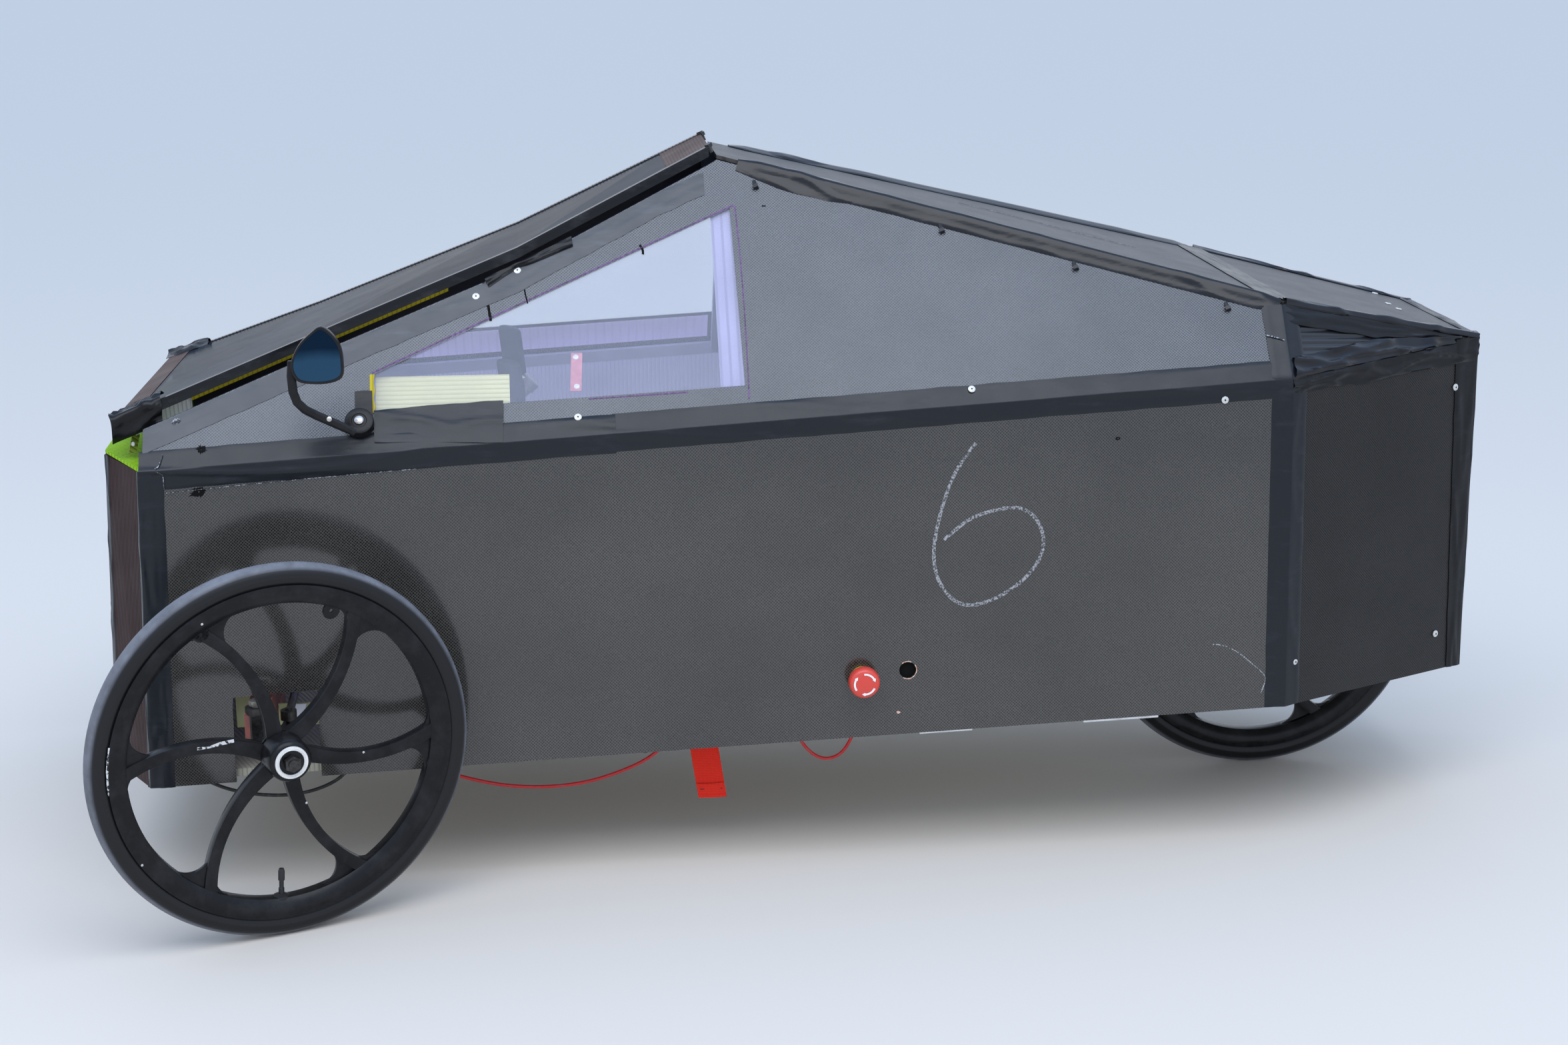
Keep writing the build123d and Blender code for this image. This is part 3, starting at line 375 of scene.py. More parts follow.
def thin_piece(name, rows, thickness, material, body="body", smooth_angle=40):
    """A thin sheet through rows of points, with its thickness behind it."""
    width = len(rows[0])
    faces = []
    for row in range(len(rows) - 1):
        near, far = row * width, (row + 1) * width
        for column in range(width - 1):
            faces.append((near + column, near + column + 1, far + column + 1, far + column))
    mesh = bpy.data.meshes.new(name)
    mesh.from_pydata([point for row in rows for point in row], [], faces)
    draft = drafted(name, mesh)
    wall = draft.modifiers.new("wall", "SOLIDIFY")
    wall.thickness = thickness
    wall.offset = -1
    return put(name, settled(draft, name), material, body, smooth_angle)


def along_line(line, place):
    """The point at that length along a line of points, and the line's direction there."""
    for first, last in zip(line, line[1:]):
        run = (last - first).length
        if place <= run or last is line[-1]:
            return first + (last - first) * (place / run), (last - first).normalized()
        place -= run
    return None


def line_length(line):
    """The length of a line of points."""
    return sum((last - start).length for start, last in zip(line, line[1:]))


def tape_piece(name, rows, centre, material, body="body"):
    """Tape through rows of points, its finished face turned away from the centre."""
    if (rows[0][1] - rows[0][0]).cross(rows[1][0] - rows[0][0]).dot(rows[0][0] - centre) < 0:
        rows.reverse()
    return thin_piece(name, rows, TAPE_THICKNESS, material or black_tape, body, 60)


def folded_tape(name, line, first, second, widths, body="body", material=None, lift=0.0005, swell=0.0,
                crease=0.0006, seed=0, pitch=(9, 70), centre=MIDDLE, taper=0.0):
    """Tape laid along a fold: first and second point away from the fold along its two faces."""
    length = line_length(line)
    count = max(2, round(length / TAPE_STEP))
    rows = []
    for step in range(count + 1):
        place = length * step / count
        point, run = along_line(line, place)
        faces = [face(point) if callable(face) else face for face in (first, second)]
        normals = [run.cross(face).normalized() for face in faces]
        normals = [normal if normal.dot(point - centre) > 0 else -normal for normal in normals]
        ease = min(1.0, (0.15 + min(place, length - place) / taper) if taper else 1.0)
        row = []
        for column in range(-TAPE_COLUMNS, TAPE_COLUMNS + 1):
            face, normal = (faces[0], normals[0]) if column < 0 else (faces[1], normals[1])
            width = (widths[0] if column < 0 else widths[1]) * (0.55 + 0.45 * ease)
            share = abs(column) / TAPE_COLUMNS
            wobble = 1 + 0.04 * noise.noise(Vector((place * 30, 7.7 * (column > 0), seed)))
            reach = width * share ** 1.4 * (wobble if share == 1 else 1)
            turn = max(0.0, 1 - reach / TAPE_TURN)
            outward = (normal + (normals[0] + normals[1] - normal) * turn * 0.5).normalized()
            along_face = reach * pitch[1] * (1 if column > 0 else -1)
            fold = 1 - abs(noise.noise(Vector((place * pitch[0] + seed, along_face, seed))))
            ridge = max(0.0, fold - 0.8) * 5
            bulge = swell * ease * math.exp(-(reach / SWELL_REACH) ** 2)
            edge = 0.25 if share == 1 else 1.0
            row.append(point + face * reach + outward * (edge * (lift + crease * ease * ridge) + bulge))
        rows.append(row)
    return tape_piece(name, rows, centre, material, body)


upper_face = {side: Vector((0, -side * UPPER_LEAN, 1)).normalized() for side in (-1, 1)}
lower_face = {side: Vector((0, side * LOWER_LEAN, -1)).normalized() for side in (-1, 1)}
tip_top = {side: Vector((-0.8674, side * 0.200, 0.546)) for side in (-1, 1)}
for side, side_name in SIDES:
    ends = [side_point(x, belt(x)[1], side) for x in (CORNER_X, -0.23, REAR_X)]
    folded_tape("belt_tape_front_" + side_name, [ends[0], ends[1] + Vector((0.004, 0, 0))], upper_face[side],
                lower_face[side], (0.027, 0.024), lift=0.0010, crease=0.0018, seed=3 + side, pitch=(3, 22))
    folded_tape("belt_tape_rear_" + side_name, ends[1:], upper_face[side], lower_face[side], (0.0275, 0.023),
                crease=0.0010, seed=9 + side, pitch=(3, 22))
    # Upright seams: nose corner and rear corner
    bottom = side_point(*CORNER_BOTTOM, side)
    chamfer = (tip_top[side] - side_point(CORNER_X, CORNER_BELT_Z, side)).normalized()
    chamfer.z = 0
    folded_tape("nose_corner_tape_" + side_name, [ends[0], bottom], Vector((1, 0, 0)), chamfer.normalized(),
                (0.030, 0.007), lift=0.0009, crease=0.0012, seed=21 + side)
    post = [side_point(REAR_X, z, side) for z in (DECK_REAR_Z - 0.006, REAR_BELT_Z, REAR_BOTTOM_Z)]
    tail_face = Vector((tail_run.x, -side * abs(tail_run.y), 0))
    folded_tape("rear_corner_tape_" + side_name, post, Vector((-1, 0, 0)), tail_face, (0.026, 0.026),
                lift=0.0012, crease=0.0006, swell=0.001, seed=31 + side, pitch=(5, 14))


def laid_tape(name, upper, lower, seed=0, lift=0.0006, crease=0.0008, pitch=(8, 60), material=None,
              across=8):
    """Tape or film lying on a flat face between two lines of points that run the same way."""
    length, below = line_length(upper), line_length(lower)
    count = max(2, round(length / TAPE_STEP))
    rows = []
    for number in range(count + 1):
        share = number / count
        high, run = along_line(upper, length * share)
        low = along_line(lower, below * share)[0]
        outward = run.cross(high - low).normalized()
        outward = outward if outward.dot(high - MIDDLE) > 0 else -outward
        row = []
        for column in range(across + 1):
            portion = column / across
            rim = portion in (0, 1)
            point = high + (low - high) * portion
            place = share * length
            if rim:
                ragged = noise.noise(Vector((place * 40, portion, seed)))
                point += (high - low).normalized() * RAGGED_EDGE * ragged
            fold = 1 - abs(noise.noise(Vector((place * pitch[0], portion * pitch[1] * 0.05 + seed, seed))))
            row.append(point + outward * (lift + (0 if rim else crease * max(0.0, fold - 0.75) * 4)))
        rows.append(row)
    return tape_piece(name, rows, MIDDLE, material)


# The rail tape is drawn lighter and bluer than the other black tape: painted sky light on the slope that
# faces up.
rail_tape = tape_finish("rail_tape", (0.026, 0.032, 0.042), 0.34, 0.6)
RAIL_EDGE = {-1: ((-0.806, 0.5945), (-0.6424, 0.656), (-0.3414, 0.766), (-0.150, 0.8555), (-0.098, 0.8755)),
             1: ((-0.806, 0.5705), (-0.6424, 0.633), (-0.3414, 0.755), (-0.150, 0.8555), (-0.098, 0.8755))}
# The rail tape's two edges, below the rail's edge
RAIL_TAPE = (0.001, 0.028)
for side, side_name in SIDES:
    high, low = ([side_point(x, z - drop, side) for x, z in RAIL_EDGE[side]] for drop in RAIL_TAPE)
    laid_tape("window_rail_tape_" + side_name, high, low, 41 + side, crease=0.0006, material=rail_tape)


# The deck and the tail are ribbed sheet. Their long edges are wrapped in tape pulled over a soft edge, so
# the tape puckers into folds, and the tail's upper corners are all tape but for one triangle.
def ribbed_sheet(name, axis, pitch, light, dark, roughness, depth, level=0.5):
    """Twin-wall plastic sheet: straight ribs show through as fine lines."""
    made, tree, shader = finish(name, light, roughness, specular_ior_level=level)
    rib = ribs_along(tree, axis, pitch)
    line = ramp(tree, wire(tree, "ShaderNodeMapRange", {0: rib, 1: -1.0, 2: 1.0}).outputs[0], 0.0, 0.35)
    worn = ramp(tree, grain(tree, 9, 4), 0.3, 0.75)
    pale = [channel * 1.35 + 0.002 for channel in light]
    tree.links.new(
        blend_colours(tree, line, dark, blend_colours(tree, worn, light, pale)), shader.inputs["Base Color"])
    vary(tree, shader, "Roughness", grain(tree, 16, 3), roughness * 0.8, roughness * 1.4)
    relief(tree, shader, rib, depth)
    return made


deck_corner = {side: side_point(REAR_X, DECK_REAR_Z, side) for side in (-1, 1)}
peak_corner = {side: side_point(PEAK_X, PEAK_Z, side) for side in (-1, 1)}
rear_belt = {side: side_point(REAR_X, REAR_BELT_Z, side) for side in (-1, 1)}
tail_top = {side: Vector((TAIL_X, side * TAIL_TOP[0], TAIL_TOP[1])) for side in (-1, 1)}
STRIP_DROOP = Vector((0, 0, -0.005))
strip_foot = {side: tail_top[side] + STRIP_DROOP for side in (-1, 1)}
tail_bottom = {side: Vector((TAIL_X, side * TAIL_BOTTOM[0], TAIL_BOTTOM[1])) for side in (-1, 1)}
deck_ribs = ribbed_sheet("deck_ribs", (0, 1, 0), 0.0042, (0.034, 0.030, 0.028), (0.012, 0.010, 0.010), 0.32,
                         0.0003)
paint("rear_deck", deck_ribs)
paint("tail_deck", deck_ribs)
paint("tail_uppers", ribbed_sheet(
    "tail_ribs", (0.1, 0, 1), 0.0075, (0.016, 0.018, 0.022), (0.006, 0.006, 0.008), 0.3, 0.0008))
deck_tape = tape_finish("deck_tape", (0.004, 0.004, 0.006), 0.17, 0.38)
tail_tape = tape_finish("tail_tape", (0.006, 0.006, 0.007), 0.24, 0.25)
for side, side_name in SIDES:
    slope = (deck_corner[side] - peak_corner[side]).normalized()
    down_side = Vector((0, side * UPPER_LEAN, -1)).normalized()
    down_side = (down_side - slope * down_side.dot(slope)).normalized()
    inward = Vector((0, -side, 0))
    start = peak_corner[side] + slope * 0.030
    middle = peak_corner[side] + slope * 0.215
    folded_tape("deck_edge_tape_" + side_name, [start, deck_corner[side]], down_side, inward,
                (0.021, 0.018), material=deck_tape, lift=0.0012, swell=0.0040, crease=0.0010, seed=53 + side,
                pitch=(5, 14), taper=0.03)
    folded_tape("deck_pucker_tape_" + side_name, [start, middle], down_side, inward, (0.026, 0.017),
                material=deck_tape, lift=0.0010, swell=0.0040, crease=0.0022, seed=57 + side, pitch=(12, 30),
                taper=0.07)
    run = tail_top[side] - deck_corner[side]
    strip_down = rear_belt[side] - deck_corner[side]

    def strip_point(along, z):
        """A point on the tail's strip above the belt fold."""
        high = deck_corner[side] + run * along
        low = rear_belt[side] + (strip_foot[side] - rear_belt[side]) * along
        return high.lerp(low, (z - high.z) / (low.z - high.z) if high.z - low.z > 0.001 else 0.5)

    laid_tape("tail_brow_tape_" + side_name, [strip_point(0.012, 0.7078), strip_point(0.985, 0.6408)],
              [strip_point(0.012, 0.684), strip_point(0.46, 0.6535), strip_point(0.985, 0.6376)], 58 + side,
              0.0012, 0.0016, (10, 40), material=tail_tape, across=10)
    laid_tape("tail_shoulder_tape_" + side_name,
              [strip_point(0.012, 0.6445), strip_point(0.46, 0.6520), strip_point(0.985, 0.6385)],
              [strip_point(0.012, 0.6215), strip_point(0.985, 0.6355)], 61 + side, 0.0016, 0.0052, (12, 30),
              material=deck_tape, across=12)
    skirt_high = [rear_belt[side], rear_belt[side].lerp(strip_foot[side], 0.99)]
    tail_low = side_point(REAR_X, REAR_BOTTOM_Z, side)
    skirt_low = []
    for along, z in ((0.0, 0.602), (0.3, 0.603), (0.34, 0.599), (0.6, 0.604), (0.99, 0.606)):
        high = rear_belt[side].lerp(strip_foot[side], along)
        low = tail_low.lerp(tail_bottom[side], along)
        skirt_low.append(high.lerp(low, (high.z - z) / (high.z - low.z)))
    laid_tape("tail_skirt_tape_" + side_name, skirt_high, skirt_low, 64 + side, 0.0016, 0.0032, (14, 40),
              material=tail_tape, across=10)
    folded_tape("tail_edge_tape_" + side_name, [deck_corner[side] + run * 0.02, tail_top[side]],
                (strip_down - run.normalized() * strip_down.dot(run.normalized())).normalized(), inward,
                (0.007, 0.012), material=deck_tape, lift=0.0016, swell=0.0015, crease=0.0022, seed=56 + side,
                pitch=(12, 40))
    tail_edge = [tail_top[side] + Vector((0, 0, 0.001)), tail_bottom[side]]
    inner_edge = [tail_edge[0].lerp(rear_belt[side], 0.125), tail_edge[1].lerp(tail_low, 0.075)]
    laid_tape("tail_end_tape_" + side_name, tail_edge, inner_edge, 69 + side, 0.0014, 0.0016, (7, 30),
              material=tail_tape, across=10)
    folded_tape("tail_corner_tape_" + side_name, tail_edge, -run.normalized(), Vector((0, -side, 0)),
                (0.036, 0.026), material=tail_tape, lift=0.0012, crease=0.0014, seed=66 + side,
                pitch=(6, 20))
cross_line = [deck_corner[-1] + Vector((0, 0.004, 0.001)), deck_corner[1] + Vector((0, -0.004, 0.001))]
folded_tape("deck_fold_tape", cross_line,
            (peak_corner[-1] - deck_corner[-1]).normalized() * Vector((1, 0, 1)),
            Vector((1, 0, -0.235)).normalized(), (0.022, 0.022), lift=0.001, crease=0.001, seed=71)
folded_tape("tail_lip_tape", [tail_top[-1], tail_top[1]], Vector((-1, 0, 0.235)).normalized(),
            Vector((0, 0, -1)), (0.016, 0.03), lift=0.0012, crease=0.002, seed=73)


# The front and rear faces of the nose are one brown twin-wall board scored and bent at the corners. A bright
# green board of the same kind closes the top behind it, and black tape covers the bends.
nose_brown = ribbed_sheet(
    "nose_brown", (0, 1, 0), 0.005, (0.030, 0.0125, 0.0105), (0.018, 0.007, 0.006), 0.4, 0.00025, 0.05)
nose_green = ribbed_sheet(
    "nose_green", (0.62, 0.78, 0), 0.0052, (0.24, 0.44, 0.016), (0.15, 0.31, 0.010), 0.5, 0.0005, 0.03)
paint("nose_front", nose_brown)
paint("nose_top", nose_green)
tip_bottom = {side: Vector((-0.8824, side * 0.196, 0.134)) for side in (-1, 1)}
for side, side_name in SIDES:
    chamfer = side_point(CORNER_X, CORNER_BELT_Z, side) - tip_top[side]
    chamfer.z = 0
    folded_tape("nose_tip_tape_" + side_name, [tip_top[side], tip_bottom[side]], chamfer.normalized(),
                Vector((0, -side, 0)), (0.013, 0.030), lift=0.0009, crease=0.001, seed=81 + side)


# The wheels. The rims are moulded in one piece with six curved spokes and painted glossy black. The narrow
# slick tyres are black rubber, worn pale along the tread.
def softened(node, radius, segments=2):
    """The CAD piece with its edges rounded over, as moulded or extruded ones are."""
    mesh = frame["nodes"][node].data.copy()
    shape = bmesh.new()
    shape.from_mesh(mesh)
    bmesh.ops.remove_doubles(shape, verts=shape.verts, dist=0.00002)
    bmesh.ops.dissolve_limit(shape, angle_limit=math.radians(0.6), verts=shape.verts, edges=shape.edges)
    shape.to_mesh(mesh)
    shape.free()
    draft = drafted(node, mesh)
    edge = draft.modifiers.new("edge", "BEVEL")
    edge.width = radius
    edge.segments = segments
    edge.limit_method = "ANGLE"
    edge.angle_limit = math.radians(35)
    edge.use_clamp_overlap = True
    edge.miter_outer = "MITER_ARC"
    return settled(draft, node + "_softened")


def turned_outwards(mesh):
    """The mesh with all its faces pointing out."""
    shape = bmesh.new()
    shape.from_mesh(mesh)
    bmesh.ops.recalc_face_normals(shape, faces=shape.faces)
    shape.to_mesh(mesh)
    shape.free()
    return mesh


def lathe(name, profile, steps):
    """Turns a closed profile of (radius, y) about the Y axis."""
    rows = []
    for step in range(steps):
        angle = math.tau * step / steps
        rows.append([Vector((radius * math.cos(angle), y, radius * math.sin(angle))) for radius,
                     y in profile])
    width = len(profile)
    faces = []
    for step in range(steps):
        after = (step + 1) % steps
        for place in range(width):
            following = (place + 1) % width
            faces.append((step * width + place, after * width + place, after * width + following,
                          step * width + following))
    mesh = bpy.data.meshes.new(name)
    mesh.from_pydata([point for row in rows for point in row], [], faces)
    return turned_outwards(mesh)


def mottled(name, roughness, spots, stops, colours, bumps=None, **sockets):
    """A finish spotted in two colours; spots is its grain, and bumps a grain with a depth and a strength."""
    made, tree, shader = finish(name, colours[0], roughness, **sockets)
    tree.links.new(ramp(tree, grain(tree, *spots), *stops, colours), shader.inputs["Base Color"])
    if bumps:
        relief(tree, shader, grain(tree, *bumps[0]), *bumps[1:])
    return made


def grained(name, colour, roughness, bumps, **sockets):
    """A finish in one colour; bumps are a grain with a depth and a strength."""
    made, tree, shader = finish(name, colour, roughness, **sockets)
    relief(tree, shader, grain(tree, *bumps[0]), *bumps[1:])
    return made


def stand_in(name, mesh, material, body, node, smooth_angle=40):
    """A finished piece that takes the place of a CAD node."""
    piece = put(name, mesh, material, body, smooth_angle)
    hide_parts(node)
    return piece


joint = {entry["name"]: entry for entry in frame["joints"]}
STEER_ANGLE = math.radians(21.5)
CAMBER = math.radians(1.6)
WHEEL_RADIUS, TYRE_HALF_WIDTH = 0.235, 0.0155
wheel_place = {}
for key, lean, turn in (("front_left", CAMBER, STEER_ANGLE), ("front_right", -CAMBER, STEER_ANGLE),
                        ("rear", 0, 0)):
    middle = Vector(joint[key + "_spin"]["pos_m"])
    turned = Matrix.Rotation(turn, 4, "Z") @ Matrix.Rotation(lean, 4, "X")
    wheel_place[key] = Matrix.Translation(middle) @ turned
rim_black = mottled("rim_black", 0.26, (30, 5, 0.65), (0.45, 0.85),
                    ((0.006, 0.006, 0.007), (0.022, 0.022, 0.024)), ((60, 3), 0.0003, 0.4),
                    specular_ior_level=0.22)
tyre_black, tree, shader = finish("tyre_black", (0.02, 0.02, 0.021), 0.5, specular_ior_level=0.3)
worn = ramp(tree, grain(tree, 40, 4, 0.6), 0.3, 0.8, ((0.5, 0.5, 0.5), (1, 1, 1)))
tread = wire(tree, "ShaderNodeAttribute", attribute_name="tread").outputs["Fac"]
rubbed = wire(tree, "ShaderNodeMath", {0: worn, 1: tread}, operation="MULTIPLY").outputs[0]
tree.links.new(blend_colours(tree, rubbed, (0.009, 0.009, 0.010), (0.19, 0.20, 0.23)),
               shader.inputs["Base Color"])
vary(tree, shader, "Roughness", rubbed, 0.38, 0.62)
relief(tree, shader, grain(tree, 300, 2), 0.0002, 0.5)
tyre_centre = WHEEL_RADIUS - TYRE_HALF_WIDTH
TYRE_WRAP, TYRE_STEPS = 252, 48
RIDGE_STEPS, RIDGE_HEIGHT = (6, 7, 14, 34, 41, 42), 0.0004
TREAD_START, TREAD_RISE = 0.2275, 0.004
tyre_profile = []
for step in range(TYRE_STEPS + 1):
    angle = math.radians(-TYRE_WRAP / 2 + TYRE_WRAP * step / TYRE_STEPS)
    radius = TYRE_HALF_WIDTH + (RIDGE_HEIGHT if step in RIDGE_STEPS else 0)
    tyre_profile.append((tyre_centre + radius * math.cos(angle), radius * math.sin(angle)))
tyre_profile += [(0.203, 0.0105), (0.203, -0.0105)]
for key in ("front_left", "front_right", "rear"):
    tyre = lathe(key + "_tyre_mesh", tyre_profile, 144)
    tread = tyre.attributes.new("tread", "FLOAT", "POINT")
    for vertex, value in zip(tyre.vertices, tread.data):
        worn_share = (math.hypot(vertex.co.x, vertex.co.z) - TREAD_START) / TREAD_RISE
        value.value = min(1.0, max(0.0, worn_share))
    tyre.transform(wheel_place[key])
    stand_in(key + "_slick", tyre, tyre_black, key + "_wheel", key + "_tyre", 50)
    stand_in(key + "_spokes", softened(key + "_rim", 0.002), rim_black, key + "_wheel", key + "_rim",
             35)


# Small fasteners, set by Geometry Nodes on a list of places: each place is a vertex that carries the way its
# fastener faces. Pop rivets are white aluminium with a dark core, and zip ties are black nylon.
def place_tree(name, size_kind):
    """Starts Geometry Nodes that are given places and a size."""
    tree = bpy.data.node_groups.new(name, "GeometryNodeTree")
    tree.interface.new_socket("Places", in_out="INPUT", socket_type="NodeSocketGeometry")
    size = tree.interface.new_socket("Size", in_out="INPUT", socket_type=size_kind)
    tree.interface.new_socket("Pieces", in_out="OUTPUT", socket_type="NodeSocketGeometry")
    return tree, size.identifier, tree.nodes.new("NodeGroupInput")


def place_all(tree, material, inputs):
    """Ends a tree: the shape is set on every place and given its material."""
    scattered = wire(tree, "GeometryNodeInstanceOnPoints", inputs)
    real = wire(tree, "GeometryNodeRealizeInstances", {0: scattered.outputs[0]})
    finished = wire(tree, "GeometryNodeSetMaterial", {"Geometry": real.outputs[0], "Material": material})
    tree.links.new(finished.outputs[0], tree.nodes.new("NodeGroupOutput").inputs[0])


def fastener_tree(name, parts, material):
    """Geometry Nodes that set the same small shape, built up from cones, on every point."""
    tree, size, given = place_tree(name, "NodeSocketFloat")
    joined = tree.nodes.new("GeometryNodeJoinGeometry")
    for low, high, start, height, sides in parts:
        cone = wire(tree, "GeometryNodeMeshCone", {
            "Vertices": sides, "Radius Top": high, "Radius Bottom": low, "Depth": height})
        lifted = wire(tree, "GeometryNodeTransform", {
            "Geometry": cone.outputs["Mesh"], "Translation": (0, 0, start)})
        tree.links.new(lifted.outputs[0], joined.inputs[0])
    facing = wire(tree, "GeometryNodeInputNamedAttribute", {"Name": "facing"}, data_type="FLOAT_VECTOR")
    turned = wire(tree, "FunctionNodeAlignRotationToVector", {"Vector": facing.outputs[0]}, axis="Z")
    place_all(tree, material, {
        "Points": given.outputs["Places"], "Instance": joined.outputs[0], "Rotation": turned.outputs[0],
        "Scale": given.outputs["Size"]})
    return tree, size


def set_fasteners(name, places, tree_and_size, size, body):
    """Runs the tree on (point, facing) pairs and keeps the result as a plain mesh."""
    tree, size_socket = tree_and_size
    mesh = bpy.data.meshes.new(name)
    mesh.from_pydata([point for point, facing in places], [], [])
    facing = mesh.attributes.new("facing", "FLOAT_VECTOR", "POINT")
    facing.data.foreach_set("vector", [value for point, way in places for value in way])
    draft = drafted(name, mesh)
    setting = draft.modifiers.new("fasteners", "NODES")
    setting.node_group = tree
    setting[size_socket] = size
    made = settled(draft, name)
    made.shade_smooth()
    made.set_sharp_from_angle(angle=math.radians(35))
    piece = bpy.data.objects.new(name, made)
    bpy.context.collection.objects.link(piece)
    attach(piece, body)
    return piece


rivet_white = mottled("rivet_white", 0.35, (900, 3), (0.45, 0.7), ((0.68, 0.68, 0.66), (0.38, 0.37, 0.35)),
                      metallic=0.3)
rivet_core = mottled("rivet_core", 0.45, (1500, 2), (0.3, 0.8),
                     ((0.008, 0.008, 0.008), (0.06, 0.058, 0.055)), metallic=0.6)
tie_black = grained("tie_black", (0.012, 0.012, 0.013), 0.35, ((700, 2), 0.0002, 0.6))
# Each part of a fastener: bottom radius, top radius, start above the surface, height, sides
rivet_head = fastener_tree("rivet_head",
                           ((0.0047, 0.0045, 0.0, 0.0007, 24), (0.0045, 0.0026, 0.0007, 0.0006, 24)),
                           rivet_white)
rivet_middle = fastener_tree("rivet_middle", ((0.0015, 0.0011, 0.0006, 0.0010, 12),), rivet_core)
upper_out = {side: Vector((0, side, UPPER_LEAN)).normalized() for side in (-1, 1)}
lower_out = {side: Vector((0, side, LOWER_LEAN)).normalized() for side in (-1, 1)}
SIDE_RIVETS = ((-0.3418, 0.7631), (-0.3949, 0.7342), (-0.2723, 0.5959), (0.2228, 0.617), (0.5460, 0.597))
rivet_places = []
for side in (-1, 1):
    for x, z in SIDE_RIVETS:
        out = upper_out[side] if z > belt(x)[1] else lower_out[side]
        taped = 0.0022 if abs(z - belt(x)[1]) < 0.03 else 0.0004
        rivet_places.append((side_point(x, z, side, taped), out))
    tail_out = Vector((abs(tail_run.y), side * tail_run.x, 0.03)).normalized()
    for along, z in ((0.883, 0.5736), (0.847, 0.2311), (0.05, 0.2468)):
        high = rear_belt[side].lerp(strip_foot[side], along)
        low = side_point(REAR_X, REAR_BOTTOM_Z, side).lerp(tail_bottom[side], along)
        share = (z - low.z) / (high.z - low.z)
        rivet_places.append((low.lerp(high, share) + tail_out * 0.0016, tail_out))
    for x, reach, z in ((0.8855, 0.152 * 0.93, 0.6518), (0.8654, 0.0227, 0.6570)):
        rivet_places.append((Vector((x, side * reach, z)), Vector((0.23, 0, 1))))
set_fasteners("rivet_heads", rivet_places, rivet_head, 1.0, "body")
set_fasteners("rivet_middles", rivet_places, rivet_middle, 1.0, "body")
tie_tail = fastener_tree("tie_tail", ((0.0026, 0.0026, -0.001, 0.010, 6), (0.0045, 0.0045, 0.006, 0.005, 4)),
                         tie_black)
tie_places = []
hinge_ties = []
for side in (-1, 1):
    for x, z in ((-0.033, 0.8615), (0.2036, 0.8055), (0.3715, 0.7590), (0.5615, 0.7085)):
        tie_places.append((side_point(x, z, side, 0.0015), Vector((0.25, side * 0.9, -0.9)).normalized()))
    for x, reach in ((-0.0865, 0.080), (-0.0850, 0.070)):
        hinge_ties.append((Vector((x, side * reach, 0.8985)), Vector((-0.4, side * 0.1, 1)).normalized()))
set_fasteners("zip_ties", tie_places, tie_tail, 1.0, "body")
set_fasteners("hinge_ties", hinge_ties, tie_tail, 1.0, "lid")


# The lid: brown twin-wall boards and clear sheet in a light frame, hinged at the peak. The near and far
# rails are black conduit, and the open cells of the board's cut edge show along the inside of the far rail.
LID_LINE = {-1: ((-0.8424, 0.272, 0.606), (-0.6224, 0.226, 0.688), (-0.3414, 0.163, 0.791),
                 (-0.0894, 0.088, 0.907)),
            1: ((-0.8424, 0.272, 0.586), (-0.6224, 0.226, 0.667), (-0.3414, 0.163, 0.781),
                (-0.0894, 0.088, 0.907))}
lid_line = {side: [Vector((x, side * reach, z)) for x, reach, z in LID_LINE[side]] for side in (-1, 1)}
lid_brown = ribbed_sheet(
    "lid_brown", (1, 0, 0.35), 0.0046, (0.060, 0.030, 0.023), (0.032, 0.015, 0.011), 0.4, 0.0003, 0.08)
paint("lid_boards", lid_brown)
conduit = mottled("conduit", 0.24, (45, 5, 0.7, (0.3, 1, 1)), (0.5, 0.9),
                  ((0.005, 0.006, 0.008), (0.045, 0.047, 0.052)), ((90, 2), 0.0003, 0.5),
                  specular_ior_level=0.3)
stand_in("lid_rails", softened("lid_frame", 0.0045, 4), conduit, "lid", "lid_frame", 50)


def clear_film(name, colour, alpha, level, ior=1.5):
    """Clear plastic sheet with a milky haze, wiped marks and a slow waviness."""
    made, tree, shader = finish(name, colour, 0.1, specular_ior_level=level, ior=ior)
    vary(tree, shader, "Roughness", grain(tree, 22, 5, 0.65), 0.06, 0.20)
    vary(tree, shader, "Alpha", grain(tree, 7, 4, 0.6), alpha * 0.75, alpha * 1.3)
    relief(tree, shader, grain(tree, 5, 2), 0.002, 0.5)
    return made


# The lid's clear sheet is drawn dark and nearly opaque: painted shade for the dim space under it.
paint("lid_film", clear_film("lid_clear", (0.020, 0.028, 0.040), 0.80, 0.2, 1.05))
for side, side_name in SIDES:
    film = clear_film("side_window_" + side_name + "_clear", (0.60, 0.64, 0.78), 0.13, 0.35)
    paint("side_window_" + side_name, film)
yellow_board = ribbed_sheet("yellow_board", (1, 0, 0), 0.006, (0.42, 0.34, 0.012), (0.33, 0.26, 0.01), 0.5,
                            0.0002, 0.2)


def along_strip(name, line, offsets, thickness, material):
    """A flat strip on the lid between two offsets from a line."""
    rows = [[point + Vector(offset) for offset in offsets] for point in line]
    return thin_piece(name, rows, thickness, material, "lid")


near_line = [point + Vector((0, 0.004, -0.0145)) for point in lid_line[-1]]
YELLOW_END_X = -0.43
SKIRT_OFFSETS = ((0, 0.0075, 0.002), (0, 0.0150, -0.020))
run = near_line[2] - near_line[1]
yellow_end = near_line[1] + run * (YELLOW_END_X - near_line[1].x) / run.x
PALE_START, PALE_END = 0.10, 0.42
skirt_start = near_line[0].lerp(near_line[1], PALE_END)
along_strip("lid_yellow_edge", [skirt_start, near_line[1], yellow_end],
            ((0, 0.003, 0), (0, 0.006, -0.005)), 0.0015, yellow_board)
